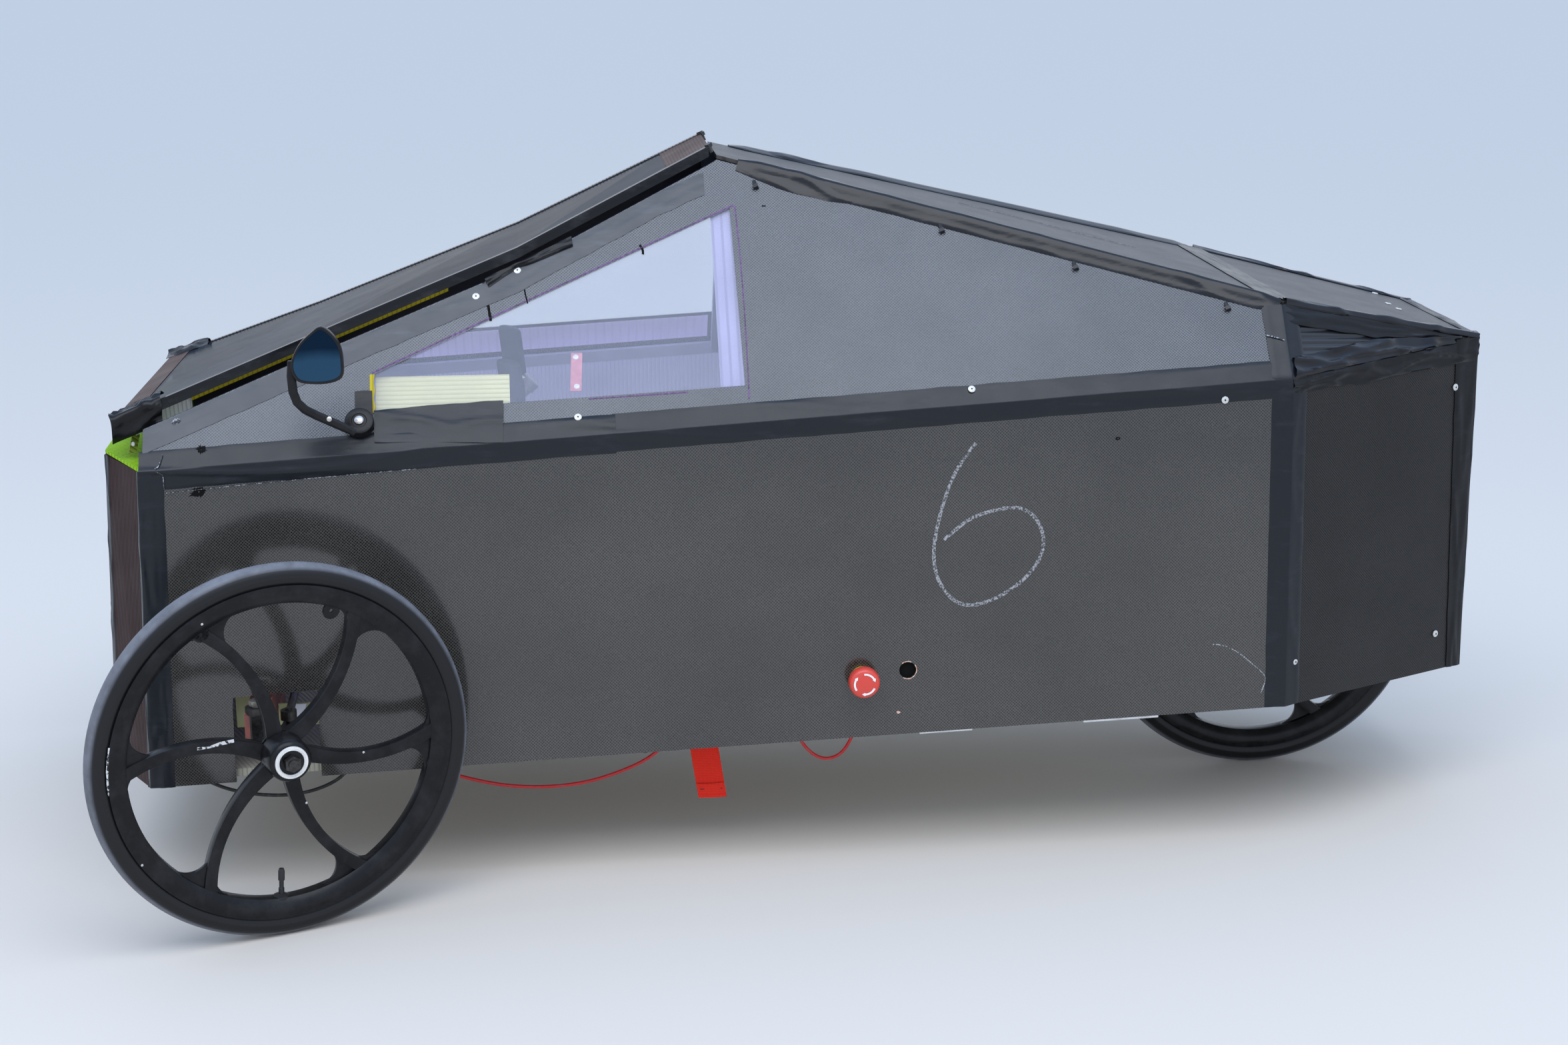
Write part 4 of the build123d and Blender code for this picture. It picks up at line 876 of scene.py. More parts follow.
# In front of the black skirt the gap is closed by a pale board
gap_pale = ribbed_sheet("gap_pale", (1, 0, 0), 0.005, (0.62, 0.61, 0.57), (0.52, 0.51, 0.48), 0.5, 0.0002,
                        0.2)
pale_line = [near_line[0].lerp(near_line[1], PALE_START), skirt_start - Vector((0.001, 0, 0))]
along_strip("lid_pale_strip", pale_line, SKIRT_OFFSETS, 0.0012, gap_pale)
skirt_black = tape_finish("skirt_black", (0.006, 0.006, 0.007), 0.3, 0.3)
skirt_line = [skirt_start, near_line[1], near_line[2], near_line[3] - Vector((0.012, 0, 0.004))]
along_strip("lid_near_skirt", skirt_line, SKIRT_OFFSETS, 0.0012, skirt_black)
far_line = [point + Vector((0, -0.006, -0.012)) for point in lid_line[1]]
along_strip("lid_far_skirt", far_line, ((0, 0, 0), (0, -0.010, -0.040)), 0.0012, skirt_black)
cell_line = [point + Vector((0, -0.0155, -0.0045)) for point in lid_line[1]]
# The black strip behind the cell walls is painted shade, standing for the dark inside of the hollow cells.
cell_dark = grained("cell_dark", (0.006, 0.006, 0.006), 0.6, ((500, 2), 0.0001))
along_strip("lid_cell_back", cell_line, ((0, 0, 0.005), (0, 0, -0.008)), 0.0006, cell_dark)
cell_wall = grained("cell_wall", (0.035, 0.026, 0.022), 0.5, ((300, 2), 0.0002))
CELL_PITCH = 0.0055
CELL_WALL_SIZE = (0.0009, 0.003, 0.012)
cells = []
for first, last in zip(cell_line, cell_line[1:]):
    count = round((last - first).length / CELL_PITCH)
    for step in range(count):
        cells.append((first.lerp(last, step / count), Vector((0, -1, 0))))


def wall_tree(name, material):
    """Geometry Nodes that stand a thin upright wall at every place, as in a twin-wall board's cut edge."""
    tree, size, given = place_tree(name, "NodeSocketVector")
    wall = wire(tree, "GeometryNodeMeshCube", {"Size": given.outputs["Size"]})
    place_all(tree, material, {"Points": given.outputs["Places"], "Instance": wall.outputs[0]})
    return tree, size


set_fasteners("lid_cell_walls", cells, wall_tree("cell_walls", cell_wall), CELL_WALL_SIZE, "lid")
for side, side_name in SIDES:
    first, second = lid_line[side][:2]
    run = (second - first).normalized()
    wrapped = [first - run * 0.004, first + run * 0.062]
    folded_tape("lid_corner_tape_" + side_name, wrapped, Vector((0, 0, -1)), Vector((0, -side, 0.0)),
                (0.030, 0.034), body="lid", material=tail_tape, lift=0.002, swell=0.002,
                crease=0.005, seed=101 + side, pitch=(22, 60), centre=Vector((-0.7, 0, 0.3)))


# Behind the panels: pale blue twin-wall lining, a cream board at the window's foot, and the marks left on
# the window's cut edges by a purple marker and a strip of yellow.
lining_blue = ribbed_sheet("lining_blue", (1, 0, 0), 0.006, (0.50, 0.60, 0.80), (0.40, 0.50, 0.70), 0.45,
                           0.0004)
lavender = ribbed_sheet("lavender_sheet", (1, 0, 0), 0.012, (0.64, 0.57, 0.92), (0.58, 0.51, 0.85), 0.4,
                        0.0002)
near_lavender = ribbed_sheet("near_lavender", (1, 0, 0), 0.012, (0.33, 0.31, 0.46), (0.28, 0.26, 0.40), 0.4,
                             0.0002, 0.2)
cream = ribbed_sheet("cream_board", (0, 0, 1), 0.005, (0.60, 0.56, 0.30), (0.55, 0.51, 0.26), 0.5, 0.0002,
                     0.2)
# Painted glow: a faint emission stands in for the daylight that comes through these thin sheets
for sheet in (lining_blue, lavender):
    shader = sheet.node_tree.nodes["Principled BSDF"]
    shader.inputs["Emission Color"].default_value = (0.56, 0.54, 0.86, 1)
    shader.inputs["Emission Strength"].default_value = 0.22
WINDOW_X = (-0.5264, -0.0614)
INNER = -0.0052
LINING_THICKNESS = 0.0005
for side, side_name in SIDES:
    lower_rows = []
    for x in (-0.795, -0.716, -0.714, -0.606, -0.604, 0.0, 0.617):
        notch = -0.716 < x < -0.605
        foot = 0.268 if notch else 0.170 + 0.028 * (x + 0.8)
        lower_rows.append([side_point(x, belt(x)[1] - 0.016, side, INNER), side_point(x, foot, side, INNER)])
    thin_piece("lower_lining_" + side_name, lower_rows, LINING_THICKNESS, lining_blue)
    band_rows = []
    for x in (-0.52, -0.30, -0.07):
        share = (x - WINDOW_X[0]) / (WINDOW_X[1] - WINDOW_X[0])
        sill = 0.606 + 0.021 * share
        band_rows.append([side_point(x, sill - 0.002, side, INNER),
                          side_point(x, belt(x)[1] + 0.004, side, INNER)])
    thin_piece("window_foot_lining_" + side_name, band_rows, LINING_THICKNESS, lavender)
    rear_rows = []
    # On the left the sheet is darker and reaches past the window's rear edge
    front_x, sheet = (-0.092, near_lavender) if side < 0 else (-0.052, lavender)
    for x, high in ((front_x, 0.862), (0.12, 0.822), (0.58, 0.698)):
        rear_rows.append([side_point(x, high, side, INNER), side_point(x, belt(x)[1] + 0.004, side, INNER)])
    thin_piece("rear_lining_" + side_name, rear_rows, LINING_THICKNESS, sheet)
sill_rows = [[side_point(x, z, -1, -0.012) for z in (0.6505, 0.6045)] for x in (-0.5225, -0.44, -0.356)]
thin_piece("sill_board", sill_rows, 0.003, cream)
marker_purple = mottled("marker_purple", 0.5, (260, 3), (0.35, 0.7),
                        ((0.03, 0.01, 0.05), (0.17, 0.06, 0.24)))


def drawn_line(name, places, width, material, lift=0.0003, seed=0):
    """A hand-drawn line on the left side: a thin uneven ribbon through (x, z) places."""
    curve = bpy.data.curves.new(name + "_path", "CURVE")
    curve.dimensions = "3D"
    curve.resolution_u = 8
    spline = curve.splines.new("NURBS")
    spline.points.add(len(places) - 1)
    for point, (x, z) in zip(spline.points, places):
        point.co = (x, 0, z, 1)
    spline.order_u = 3
    spline.use_endpoint_u = True
    path = settled(drafted(name, curve), name + "_path")
    line = [vertex.co.copy() for vertex in path.vertices]
    bpy.data.meshes.remove(path)
    rows = []
    for number, place in enumerate(line):
        run = (line[min(number + 1, len(line) - 1)] - line[max(number - 1, 0)]).normalized()
        across = Vector((-run.z, 0, run.x))
        uneven = width * (0.5 + 0.22 * noise.noise(Vector((number * 0.7, seed, 0))))
        ends = [place + across * uneven, place - across * uneven]
        rows.append([side_point(end.x, end.z, -1, lift) for end in ends])
    return thin_piece(name, rows, 0.0002, material)


drawn_line("marker_top", ((-0.526, 0.6505), (-0.30, 0.741), (-0.062, 0.8345)), 0.0016, marker_purple, seed=1)
drawn_line("marker_rear", ((-0.060, 0.834), (-0.054, 0.73), (-0.058, 0.612)), 0.0016, marker_purple, seed=2)
drawn_line("marker_foot", ((-0.258, 0.6165), (-0.134, 0.6215)), 0.0014, marker_purple, seed=3)
edge_rows = [[side_point(x, z, -1, 0.0012) for x in (-0.5290, -0.5235 + 0.0006 * wobble)]
             for z, wobble in ((0.606, 0), (0.613, 2), (0.622, -1), (0.631, 1.5), (0.640, -1), (0.6485, 1))]
thin_piece("window_yellow_edge", edge_rows, 0.0012, yellow_board)
patch_high = [side_point(x, z, -1, 0.0006) for x,
              z in ((-0.524, 0.6084), (-0.45, 0.6130), (-0.3641, 0.6165))]
patch_low = [side_point(x, z, -1, 0.0006) for x,
             z in ((-0.5235, 0.5734), (-0.46, 0.5725), (-0.3656, 0.5701))]
laid_tape("window_foot_patch", patch_high, patch_low, 111, 0.0018, 0.0016, (11, 34), across=14)
strip_high, strip_low = ([side_point(x, z, -1, 0.0006) for x in ends]
                         for z, ends in ((0.6300, (-0.5475, -0.5260)), (0.5900, (-0.5465, -0.5250))))
laid_tape("window_front_strip", strip_high, strip_low, 115, 0.0012, 0.001, (16, 40), material=tail_tape,
          across=10)
# A patch over the rail's edge
PATCH_TOP = ((-0.3840, 0.7540), (-0.3300, 0.7765), (-0.2718, 0.8010))
PATCH_FOOT = ((-0.3785, 0.7440), (-0.3418, 0.7660), (-0.3270, 0.7690), (-0.2701, 0.7890))
laid_tape("rail_patch_tape", [side_point(x, z, -1, 0.001) for x, z in PATCH_TOP],
          [side_point(x, z, -1, 0.001) for x, z in PATCH_FOOT], 121, 0.0012, 0.0026, (20, 50),
          material=tail_tape, across=10)
# Short splits in the sheet beside the rivets, and the cut ends of two ties through it
black_marks_and_shade = grained("black_marks_and_shade", (0.004, 0.004, 0.004), 0.7, ((500, 2), 0.0002), specular_ior_level=0.1)
drawn_line("split_front", ((-0.3845, 0.7500), (-0.3800, 0.7250), (-0.3770, 0.7060)), 0.0034, black_marks_and_shade,
           seed=21)
drawn_line("split_rear", ((-0.3367, 0.7595), (-0.3340, 0.7400), (-0.3300, 0.7250)), 0.0018, black_marks_and_shade,
           seed=22)
drawn_line("split_mark", ((-0.1850, 0.7900), (-0.1800, 0.7840), (-0.1815, 0.7790)), 0.0030, black_marks_and_shade,
           seed=23)
drawn_line("split_peak", ((-0.0250, 0.8330), (-0.0200, 0.8330)), 0.0014, black_marks_and_shade, seed=24)


def scorch(name, x, z, reach, lift, seed):
    """A burnt spot round a melted hole: a dark ragged star."""
    rows = []
    for step in range(37):
        angle = math.tau * step / 36
        ragged = abs(noise.noise(Vector((math.cos(angle) * 3, math.sin(angle) * 3, seed))))
        spread = reach * (0.55 + 0.9 * ragged)
        rows.append([side_point(x + math.cos(angle) * radius * 1.4, z + math.sin(angle) * radius, -1, lift)
                     for radius in (0.0008, spread)])
    thin_piece(name, rows, 0.0002, black_marks_and_shade)


scorch("scorch_above", -0.7348, 0.5706, 0.0052, 0.0021, 31)
scorch("scorch_below", -0.7391, 0.5213, 0.0085, 0.0004, 32)
scorch("smudge_middle", 0.4088, 0.5514, 0.0030, 0.0004, 33)


# The front axle and what stands inside: a square beam painted red-brown, plated bolts and forks, a floor of
# pale olive board, a moulded seat, the steering tiller with foam grips, and the power unit's plain case.
def metal(name, light, dark, roughness, metallic, scale=60, level=0.5):
    """Metal or paint with stains, scratches and uneven gloss."""
    made, tree, shader = finish(name, light, roughness, metallic=metallic, specular_ior_level=level)
    stain = ramp(tree, grain(tree, scale, 5, 0.65), 0.35, 0.7)
    tree.links.new(blend_colours(tree, stain, light, dark), shader.inputs["Base Color"])
    vary(tree, shader, "Roughness", grain(tree, scale * 2, 3), roughness * 0.7, roughness * 1.5)
    relief(tree, shader, grain(tree, scale * 4, 2), 0.0002, 0.5)
    return made


plated_steel = metal("plated_steel", (0.74, 0.72, 0.68), (0.34, 0.30, 0.25), 0.28, 1.0, 120)
bearing_steel = metal("bearing_steel", (0.86, 0.85, 0.82), (0.66, 0.65, 0.62), 0.4, 0.3, 25)
axle_paint = metal("axle_paint", (0.42, 0.11, 0.08), (0.20, 0.08, 0.07), 0.35, 0.0)
bright_aluminium = metal("bright_aluminium", (0.80, 0.81, 0.82), (0.60, 0.60, 0.60), 0.35, 1.0, 40)
bolt_black = metal("bolt_black", (0.030, 0.029, 0.028), (0.09, 0.085, 0.08), 0.35, 0.8, 150)
seat_grey = metal("seat_grey", (0.035, 0.036, 0.040), (0.055, 0.055, 0.058), 0.45, 0.0, 30)
case_grey = metal("case_grey", (0.20, 0.21, 0.22), (0.15, 0.155, 0.16), 0.5, 0.0, 20)
foam_grey = metal("foam_grey", (0.060, 0.068, 0.085), (0.040, 0.046, 0.060), 0.75, 0.0, 300)
frame_lilac = metal("frame_lilac", (0.66, 0.66, 0.86), (0.58, 0.58, 0.76), 0.4, 0.0, 30)
GRIP_LEAN, GRIP_DROP = 0.38, 0.3
grip_foot_z = min(vertex.co.z for vertex in frame["nodes"]["tiller_grips"].data.vertices)
olive_board = ribbed_sheet("olive_board", (1, 0.4, 0), 0.006, (0.34, 0.325, 0.26), (0.28, 0.27, 0.21), 0.5,
                           0.0002, 0.2)
for node, material in (
        ("floor_pan", olive_board), ("floor_strips", bright_aluminium), ("body_frame", frame_lilac),
        ("front_axle_beam", axle_paint), ("kingpin_bolts", plated_steel), ("rear_axle", bright_aluminium),
        ("steering_post", bright_aluminium), ("tie_rod", bolt_black), ("knuckle_left", bolt_black),
        ("knuckle_right", bolt_black), ("rear_hub", bolt_black)):
    paint(node, material)
for node, radius, material, body, slot in (
        ("seat", 0.009, seat_grey, "body", "seat_shell"),
        ("power_unit", 0.012, case_grey, "body", "power_unit"),
        ("tiller", 0.0025, plated_steel, "tiller", "steel"),
        ("tiller_grips", 0.009, foam_grey, "tiller", "grip")):
    mesh = softened(node, radius, 4)
    if body == "tiller":
        # The bar's ends lean towards the nose
        for vertex in mesh.vertices:
            above = max(0.0, vertex.co.z - grip_foot_z)
            vertex.co.x -= above * GRIP_LEAN
            vertex.co.z -= above * GRIP_DROP
    piece = stand_in(node + "_finished", mesh, material, body, node)


def along_axis(direction):
    """The turn that points a lathed piece's axis, Y, along a direction."""
    return Vector((0, 1, 0)).rotation_difference(direction).to_matrix().to_4x4()


# A plated clamp lies across the bar under each grip's foot, found from the lower half of the grip's points
CLAMP_PROFILE = ((0.0001, -0.0215), (0.0135, -0.0215), (0.0150, -0.0200), (0.0150, -0.0070),
                 (0.0128, -0.0055), (0.0128, 0.0055), (0.0150, 0.0070), (0.0150, 0.0200), (0.0135, 0.0215),
                 (0.0001, 0.0215))
for side, side_name in SIDES:
    points = sorted((vertex.co for vertex in piece.data.vertices if side * vertex.co.y > 0),
                    key=lambda spot: spot.z)
    lower_half = points[:len(points) // 2]
    foot = sum(lower_half, Vector()) / len(lower_half)
    clamp = lathe("grip_clamp_" + side_name, CLAMP_PROFILE, 28)
    under_foot = Matrix.Translation(foot + Vector((0.007, 0, -0.024)))
    clamp.transform(under_foot @ along_axis(Vector((0.72, 0, 0.69))))
    put("grip_clamp_" + side_name, clamp, bearing_steel, "tiller")


# Behind each notch in the lower sides a pale stained board closes the body. It is cut in three pieces that
# leave room for the beam and the tie rod, and a pale strip is stuck across the lowest piece.
notch_board = mottled("notch_board", 0.5, (30, 4), (0.35, 0.75), ((0.52, 0.55, 0.33), (0.36, 0.38, 0.14)),
                      ((120, 2), 0.0002), specular_ior_level=0.2)
notch_strip = grained("notch_strip", (0.80, 0.82, 0.84), 0.4, ((90, 2), 0.0002))
for side, side_name in SIDES:
    for part, span, heights, depth in (("front", (-0.7150, -0.6960), (0.262, 0.205), 0.286),
                                       ("foot", (-0.6620, -0.6055), (0.2345, 0.205), 0.286),
                                       ("head", (-0.6955, -0.6055), (0.270, 0.2555), 0.296)):
        rows = [[Vector((x, side * depth, z)) for z in heights] for x in (span[0], sum(span) / 2, span[1])]
        thin_piece("notch_board_%s_%s" % (part, side_name), rows, 0.003, notch_board)
    rows = [[Vector((x, side * 0.2885, z)) for x in (spot - 0.0065, spot + 0.0065)]
            for spot, z in ((-0.6330, 0.2340), (-0.6410, 0.2060))]
    thin_piece("notch_strip_" + side_name, rows, 0.0008, notch_strip)


# Wheel fittings: a bearing ring and shoulder on each front hub with the stub axle's end inside, a valve, two
# small tabs with holes at the spokes' outer ends, and white specks where the black paint has chipped off.
# Profiles are (radius, distance outwards from the wheel's middle)
BEARING_RING = ((0.0152, 0.0440), (0.0152, 0.0452), (0.0160, 0.0457), (0.0170, 0.0450), (0.0176, 0.0458),
                (0.0198, 0.0456), (0.0203, 0.0446), (0.0203, 0.0440))
HUB_SHOULDER = ((0.0205, 0.0330), (0.0205, 0.0437), (0.0235, 0.0425), (0.0262, 0.0380), (0.0272, 0.0300),
                (0.0272, 0.0075), (0.0205, 0.0075))
AXLE_END = ((0.0001, 0.0400), (0.0044, 0.0400), (0.0044, 0.0462), (0.0036, 0.0470), (0.0014, 0.0470),
            (0.0012, 0.0460), (0.0001, 0.0460))


def hub_piece(name, key, outboard, profile, steps, material, body):
    """A turned piece on a wheel's own axis."""
    mesh = lathe(name, [(radius, -outboard * depth) for radius, depth in profile], steps)
    mesh.transform(wheel_place[key])
    put(name, mesh, material, body)


for key, outboard in (("front_left", 1), ("front_right", -1)):
    body = key + "_wheel"
    hub_piece(key + "_bearing_ring", key, outboard, BEARING_RING, 48, bearing_steel, body)
    hub_piece(key + "_hub_shoulder", key, outboard, HUB_SHOULDER, 48, rim_black, body)
for key, body, outboard in (("front_left", "knuckle_left", 1), ("front_right", "knuckle_right", -1)):
    hub_piece(key + "_axle_end", key, outboard, AXLE_END, 24, bearing_steel, body)
VALVE_ANGLE, VALVE_FOOT = -92.7, 0.1885
TABS = ((68.1, 0.1822), (119.0, 0.1860))
TAB_PROFILE = ((0.0022, -0.0015), (0.0098, -0.0015), (0.0108, 0.0), (0.0098, 0.0015), (0.0022, 0.0015))
TAB_DEPTH, SPOKE_FACE, RIM_FACE = 0.006, 0.0076, 0.0156
RIM_FACE_RADIUS = 0.198
# Chips: places on the wheel's outer face, across and up from its axis
CHIPS = ((-0.0897, 0.1772), (0.1001, -0.0164), (0.0260, -0.0690), (0.1140, -0.1550), (-0.1777, -0.1083),
         (0.1410, 0.1380))
SPOKE_SCUFF = ((-0.1025, 0.0226), (-0.0895, 0.0218), (-0.0739, 0.0243), (-0.0582, 0.0252))
EDGE_RADIUS = 0.211
EDGE_SCUFF = [(EDGE_RADIUS * math.cos(math.radians(angle)), EDGE_RADIUS * math.sin(math.radians(angle)))
              for angle in range(168, 185, 2)]
# Scuffs: name, places, distance outwards, width
SCUFFS = (("_spoke_scuff", SPOKE_SCUFF, 0.0080, 0.0042), ("_edge_scuff", EDGE_SCUFF, 0.0160, 0.0024))
chip_tree = fastener_tree("paint_chip", ((0.0021, 0.0016, 0.0, 0.0004, 5),), rivet_white)
VALVE_PROFILE = ((0.0001, 0.0), (0.0100, 0.0), (0.0100, 0.0028), (0.0062, 0.0042), (0.0036, 0.005),
                 (0.0036, 0.012), (0.0029, 0.0125), (0.0029, 0.022), (0.0041, 0.0225), (0.0041, 0.034),
                 (0.0030, 0.0372), (0.0001, 0.0372))
chipped_paint, tree, shader = finish("chipped_paint", (0.5, 0.5, 0.5), 0.5)
bare = ramp(tree, grain(tree, 230, 3, 0.6), 0.44, 0.50)
tree.links.new(blend_colours(tree, bare, (0.008, 0.008, 0.009), (0.62, 0.62, 0.62)),
               shader.inputs["Base Color"])
relief(tree, shader, bare, 0.0001)
for key, outboard, turned in (("front_left", 1, 0), ("front_right", -1, 0), ("rear", 1, 150)):
    # The profile's length runs along Y, so the lathe's axis is turned to point from the rim to the hub
    angle = math.radians(VALVE_ANGLE + turned)
    inwards = Vector((-math.cos(angle), 0, -math.sin(angle)))
    valve = lathe(key + "_valve", VALVE_PROFILE, 16)
    valve.transform(wheel_place[key] @ Matrix.Translation(-inwards * VALVE_FOOT) @ along_axis(inwards))
    put(key + "_valve", valve, tie_black, key + "_wheel")
    for number, (degrees, radius) in enumerate(TABS):
        angle = math.radians(degrees)
        tab = lathe("tab", TAB_PROFILE, 24)
        spot = Vector((radius * math.cos(angle), -outboard * TAB_DEPTH, radius * math.sin(angle)))
        tab.transform(wheel_place[key] @ Matrix.Translation(spot))
        put("%s_tab_%d" % (key, number), tab, rim_black, key + "_wheel")
    way = wheel_place[key].to_3x3() @ Vector((0, -outboard, 0))
    chips = []
    for x, z in CHIPS:
        depth = RIM_FACE if math.hypot(x, z) > RIM_FACE_RADIUS else SPOKE_FACE
        chips.append((wheel_place[key] @ Vector((x, -outboard * depth, z)), way))
    set_fasteners(key + "_chips", chips, chip_tree, 0.8, key + "_wheel")
    for part, places, depth, width in SCUFFS:
        rows = []
        for number, (x, z) in enumerate(places):
            before, after = places[max(0, number - 1)], places[min(number + 1, len(places) - 1)]
            along = Vector((after[0] - before[0], 0, after[1] - before[1])).normalized()
            half = width * (0.45 + 0.5 * noise.noise(Vector((number * 1.3, 4.0, 0))))
            middle = Vector((x, -outboard * depth, z))
            sideways = Vector((-along.z, 0, along.x)) * half
            rows.append([wheel_place[key] @ (middle + sideways), wheel_place[key] @ (middle - sideways)])
        thin_piece(key + part, rows, 0.0003, chipped_paint, key + "_wheel")


# The mirror is a black moulded bar-end mirror, screwed to the left side by its disc. Its bent arm is turned
# flat against the side, and a bevelled rim holds the blue-tinted glass in the shallow head.
mirror_black = metal("mirror_black", (0.006, 0.006, 0.007), (0.012, 0.012, 0.013), 0.3, 0.0, 80, 0.25)
blue_glass, tree, shader = finish("blue_glass", (0.022, 0.060, 0.125), 0.04, metallic=1.0)
# Painted reflection: the glass is coloured lighter below a wavy line near 0.70 m up and darker above it.
place = wire(tree, "ShaderNodeTexCoord").outputs["Object"]
height = wire(tree, "ShaderNodeSeparateXYZ", {0: place}).outputs[2]
uneven = wire(tree, "ShaderNodeMath", {0: grain(tree, 12, 3), 1: 0.02, 2: height}, operation="MULTIPLY_ADD")
level = wire(tree, "ShaderNodeMapRange", {0: uneven.outputs[0], 1: 0.698, 2: 0.712}).outputs[0]
tree.links.new(blend_colours(tree, level, (0.030, 0.080, 0.140), (0.008, 0.022, 0.045)),
               shader.inputs["Base Color"])
MIRROR_PIVOT = (-0.5414, 0.593)
# The head's outline (x, z) and the flat front's distance from the car's middle
HEAD_OUTLINE = ((-0.6150, 0.6860), (-0.6050, 0.7080), (-0.5900, 0.7230), (-0.5770, 0.7310),
                (-0.5640, 0.7220), (-0.5545, 0.7060), (-0.5520, 0.6860), (-0.5545, 0.6680),
                (-0.5730, 0.6610), (-0.6000, 0.6620), (-0.6115, 0.6690))
HEAD_FRONT_Y = 0.3662
CORNER_STEPS = 4
head_middle = Vector((-0.5835, 0, 0.6930))


def head_ring(share, depth):
    """The mirror's outline drawn smaller by a share, at a distance from the car's middle."""
    count = len(HEAD_OUTLINE)
    points = []
    for number in range(count * CORNER_STEPS):
        corner, part = number // CORNER_STEPS, number % CORNER_STEPS / CORNER_STEPS
        before, first, last, following = (Vector((x, 0, z)) for x, z in (
            HEAD_OUTLINE[(corner + offset) % count] for offset in (-1, 0, 1, 2)))
        point = 0.5 * (2 * first + (last - before) * part
                       + (2 * before - 5 * first + 4 * last - following) * part ** 2
                       + (3 * first - before - 3 * last + following) * part ** 3)
        points.append(head_middle + (point - head_middle) * share + Vector((0, -depth, 0)))
    return points


def closed_rings(name, rings):
    """A mesh through closed rings of points, its first and last rings filled."""
    width = len(rings[0])
    faces = [tuple(range(width))[::-1], tuple(range((len(rings) - 1) * width, len(rings) * width))]
    for level in range(len(rings) - 1):
        for number in range(width):
            after = (number + 1) % width
            faces.append((level * width + number, level * width + after, (level + 1) * width + after,
                          (level + 1) * width + number))
    mesh = bpy.data.meshes.new(name)
    mesh.from_pydata([point for ring in rings for point in ring], [], faces)
    return turned_outwards(mesh)


# The head's rings from back to front: share of the outline, distance from the flat front
HEAD_RINGS = ((0.30, -0.0215), (0.72, -0.0205), (0.92, -0.0160), (1.0, -0.0090), (1.0, -0.0020),
              (0.985, 0.0), (0.90, 0.0), (0.875, -0.0022))
head = closed_rings("mirror_body", [head_ring(share, HEAD_FRONT_Y + depth) for share, depth in HEAD_RINGS])
stand_in("mirror_body", head, mirror_black, "body", "mirror_head", 50)
# Points along the arm's middle, from the disc to the head
ARM_PATH = ((-0.5440, -0.3455, 0.5950), (-0.5600, -0.3465, 0.6045), (-0.5890, -0.3495, 0.6195),
            (-0.6020, -0.3520, 0.6275), (-0.6105, -0.3540, 0.6370), (-0.6145, -0.3560, 0.6500),
            (-0.6155, -0.3575, 0.6700), (-0.6150, -0.3580, 0.6890))
ARM_HALF_HEIGHT, ARM_HALF_DEPTH, ARM_SIDES = 0.0056, 0.0034, 16
arm_rings = []
for number, place in enumerate(ARM_PATH):
    before, after = ARM_PATH[max(0, number - 1)], ARM_PATH[min(number + 1, len(ARM_PATH) - 1)]
    along = (Vector(after) - Vector(before)).normalized()
    sideways = along.cross(Vector((0, 1, 0))).normalized()
    end = 0.72 if number in (0, len(ARM_PATH) - 1) else 1.0
    high, deep = sideways * ARM_HALF_HEIGHT * end, Vector((0, 1, 0)) * ARM_HALF_DEPTH * end
    angles = [math.tau * turn / ARM_SIDES for turn in range(ARM_SIDES)]
    arm_rings.append([Vector(place) + high * math.cos(angle) + deep * math.sin(angle) for angle in angles])
arm = closed_rings("mirror_arm", arm_rings)
stand_in("mirror_arm", arm, mirror_black, "body", "mirror_head", 50)
disc_foot = side_point(*MIRROR_PIVOT, -1, 0.0009)
disc = lathe("mirror_disc", ((0.0001, 0.0), (0.0168, 0.0), (0.0180, 0.0012), (0.0180, 0.0120),
                             (0.0172, 0.0142), (0.0150, 0.0151), (0.0095, 0.0151), (0.0088, 0.0142),
                             (0.0001, 0.0142)), 48)
disc.transform(Matrix.Translation(disc_foot) @ along_axis(upper_out[-1]))
stand_in("mirror_disc", disc, mirror_black, "body", "mirror_head")
pane_rings = [head_ring(0.895, HEAD_FRONT_Y - 0.0022), head_ring(0.89, HEAD_FRONT_Y - 0.0008)]
pane = closed_rings("mirror_pane", pane_rings)
stand_in("mirror_pane", pane, blue_glass, "body", "mirror_glass")
pivot = side_point(*MIRROR_PIVOT, -1, 0.0162)
screw_tree = fastener_tree("round_screw",
                           ((0.0062, 0.0062, -0.001, 0.0022, 20), (0.0062, 0.0040, 0.0012, 0.0014, 20),
                           (0.0021, 0.0021, 0.0016, 0.0012, 6)), plated_steel)
set_fasteners("mirror_screw", [(pivot, upper_out[-1])], screw_tree, 0.9, "body")
set_fasteners("mirror_set_screws", [(Vector((-0.5735, -0.352, 0.6150)), Vector((0, -1, 0.2)))], screw_tree,
              0.5, "body")


# The stop button: a red mushroom head with a toothed rim, three white arrows and a yellow collar, and beside
# it the open switch hole, its cut edge chipped down to the sheet's orange core.
STOP_X, STOP_Z = 0.0796, 0.252
button_red = mottled("button_red", 0.33, (90, 4), (0.4, 0.8), ((0.70, 0.050, 0.032), (0.55, 0.07, 0.05)),
                     ((600, 2), 0.0001, 0.5), specular_ior_level=0.6)
paint("stop_collar", mottled("collar_yellow", 0.4, (80, 3), (0.3, 0.8),
                             ((0.78, 0.52, 0.02), (0.60, 0.40, 0.03))))
stop_face = side_point(STOP_X, STOP_Z)
CAP_TEETH = 56
TOOTHED_RADIUS, TOOTH_DEPTH = 0.0192, 0.018
CAP_PROFILE = ((0.0001, 0.0311), (0.0120, 0.0311), (0.0160, 0.0306), (0.0182, 0.0292), (0.0197, 0.0262),
               (0.0200, 0.0225), (0.0200, 0.0165), (0.0190, 0.0152), (0.0120, 0.0150), (0.0118, 0.0092),
               (0.0001, 0.0092))
cap = lathe("stop_cap", [(radius, -depth) for radius, depth in CAP_PROFILE], CAP_TEETH * 4)
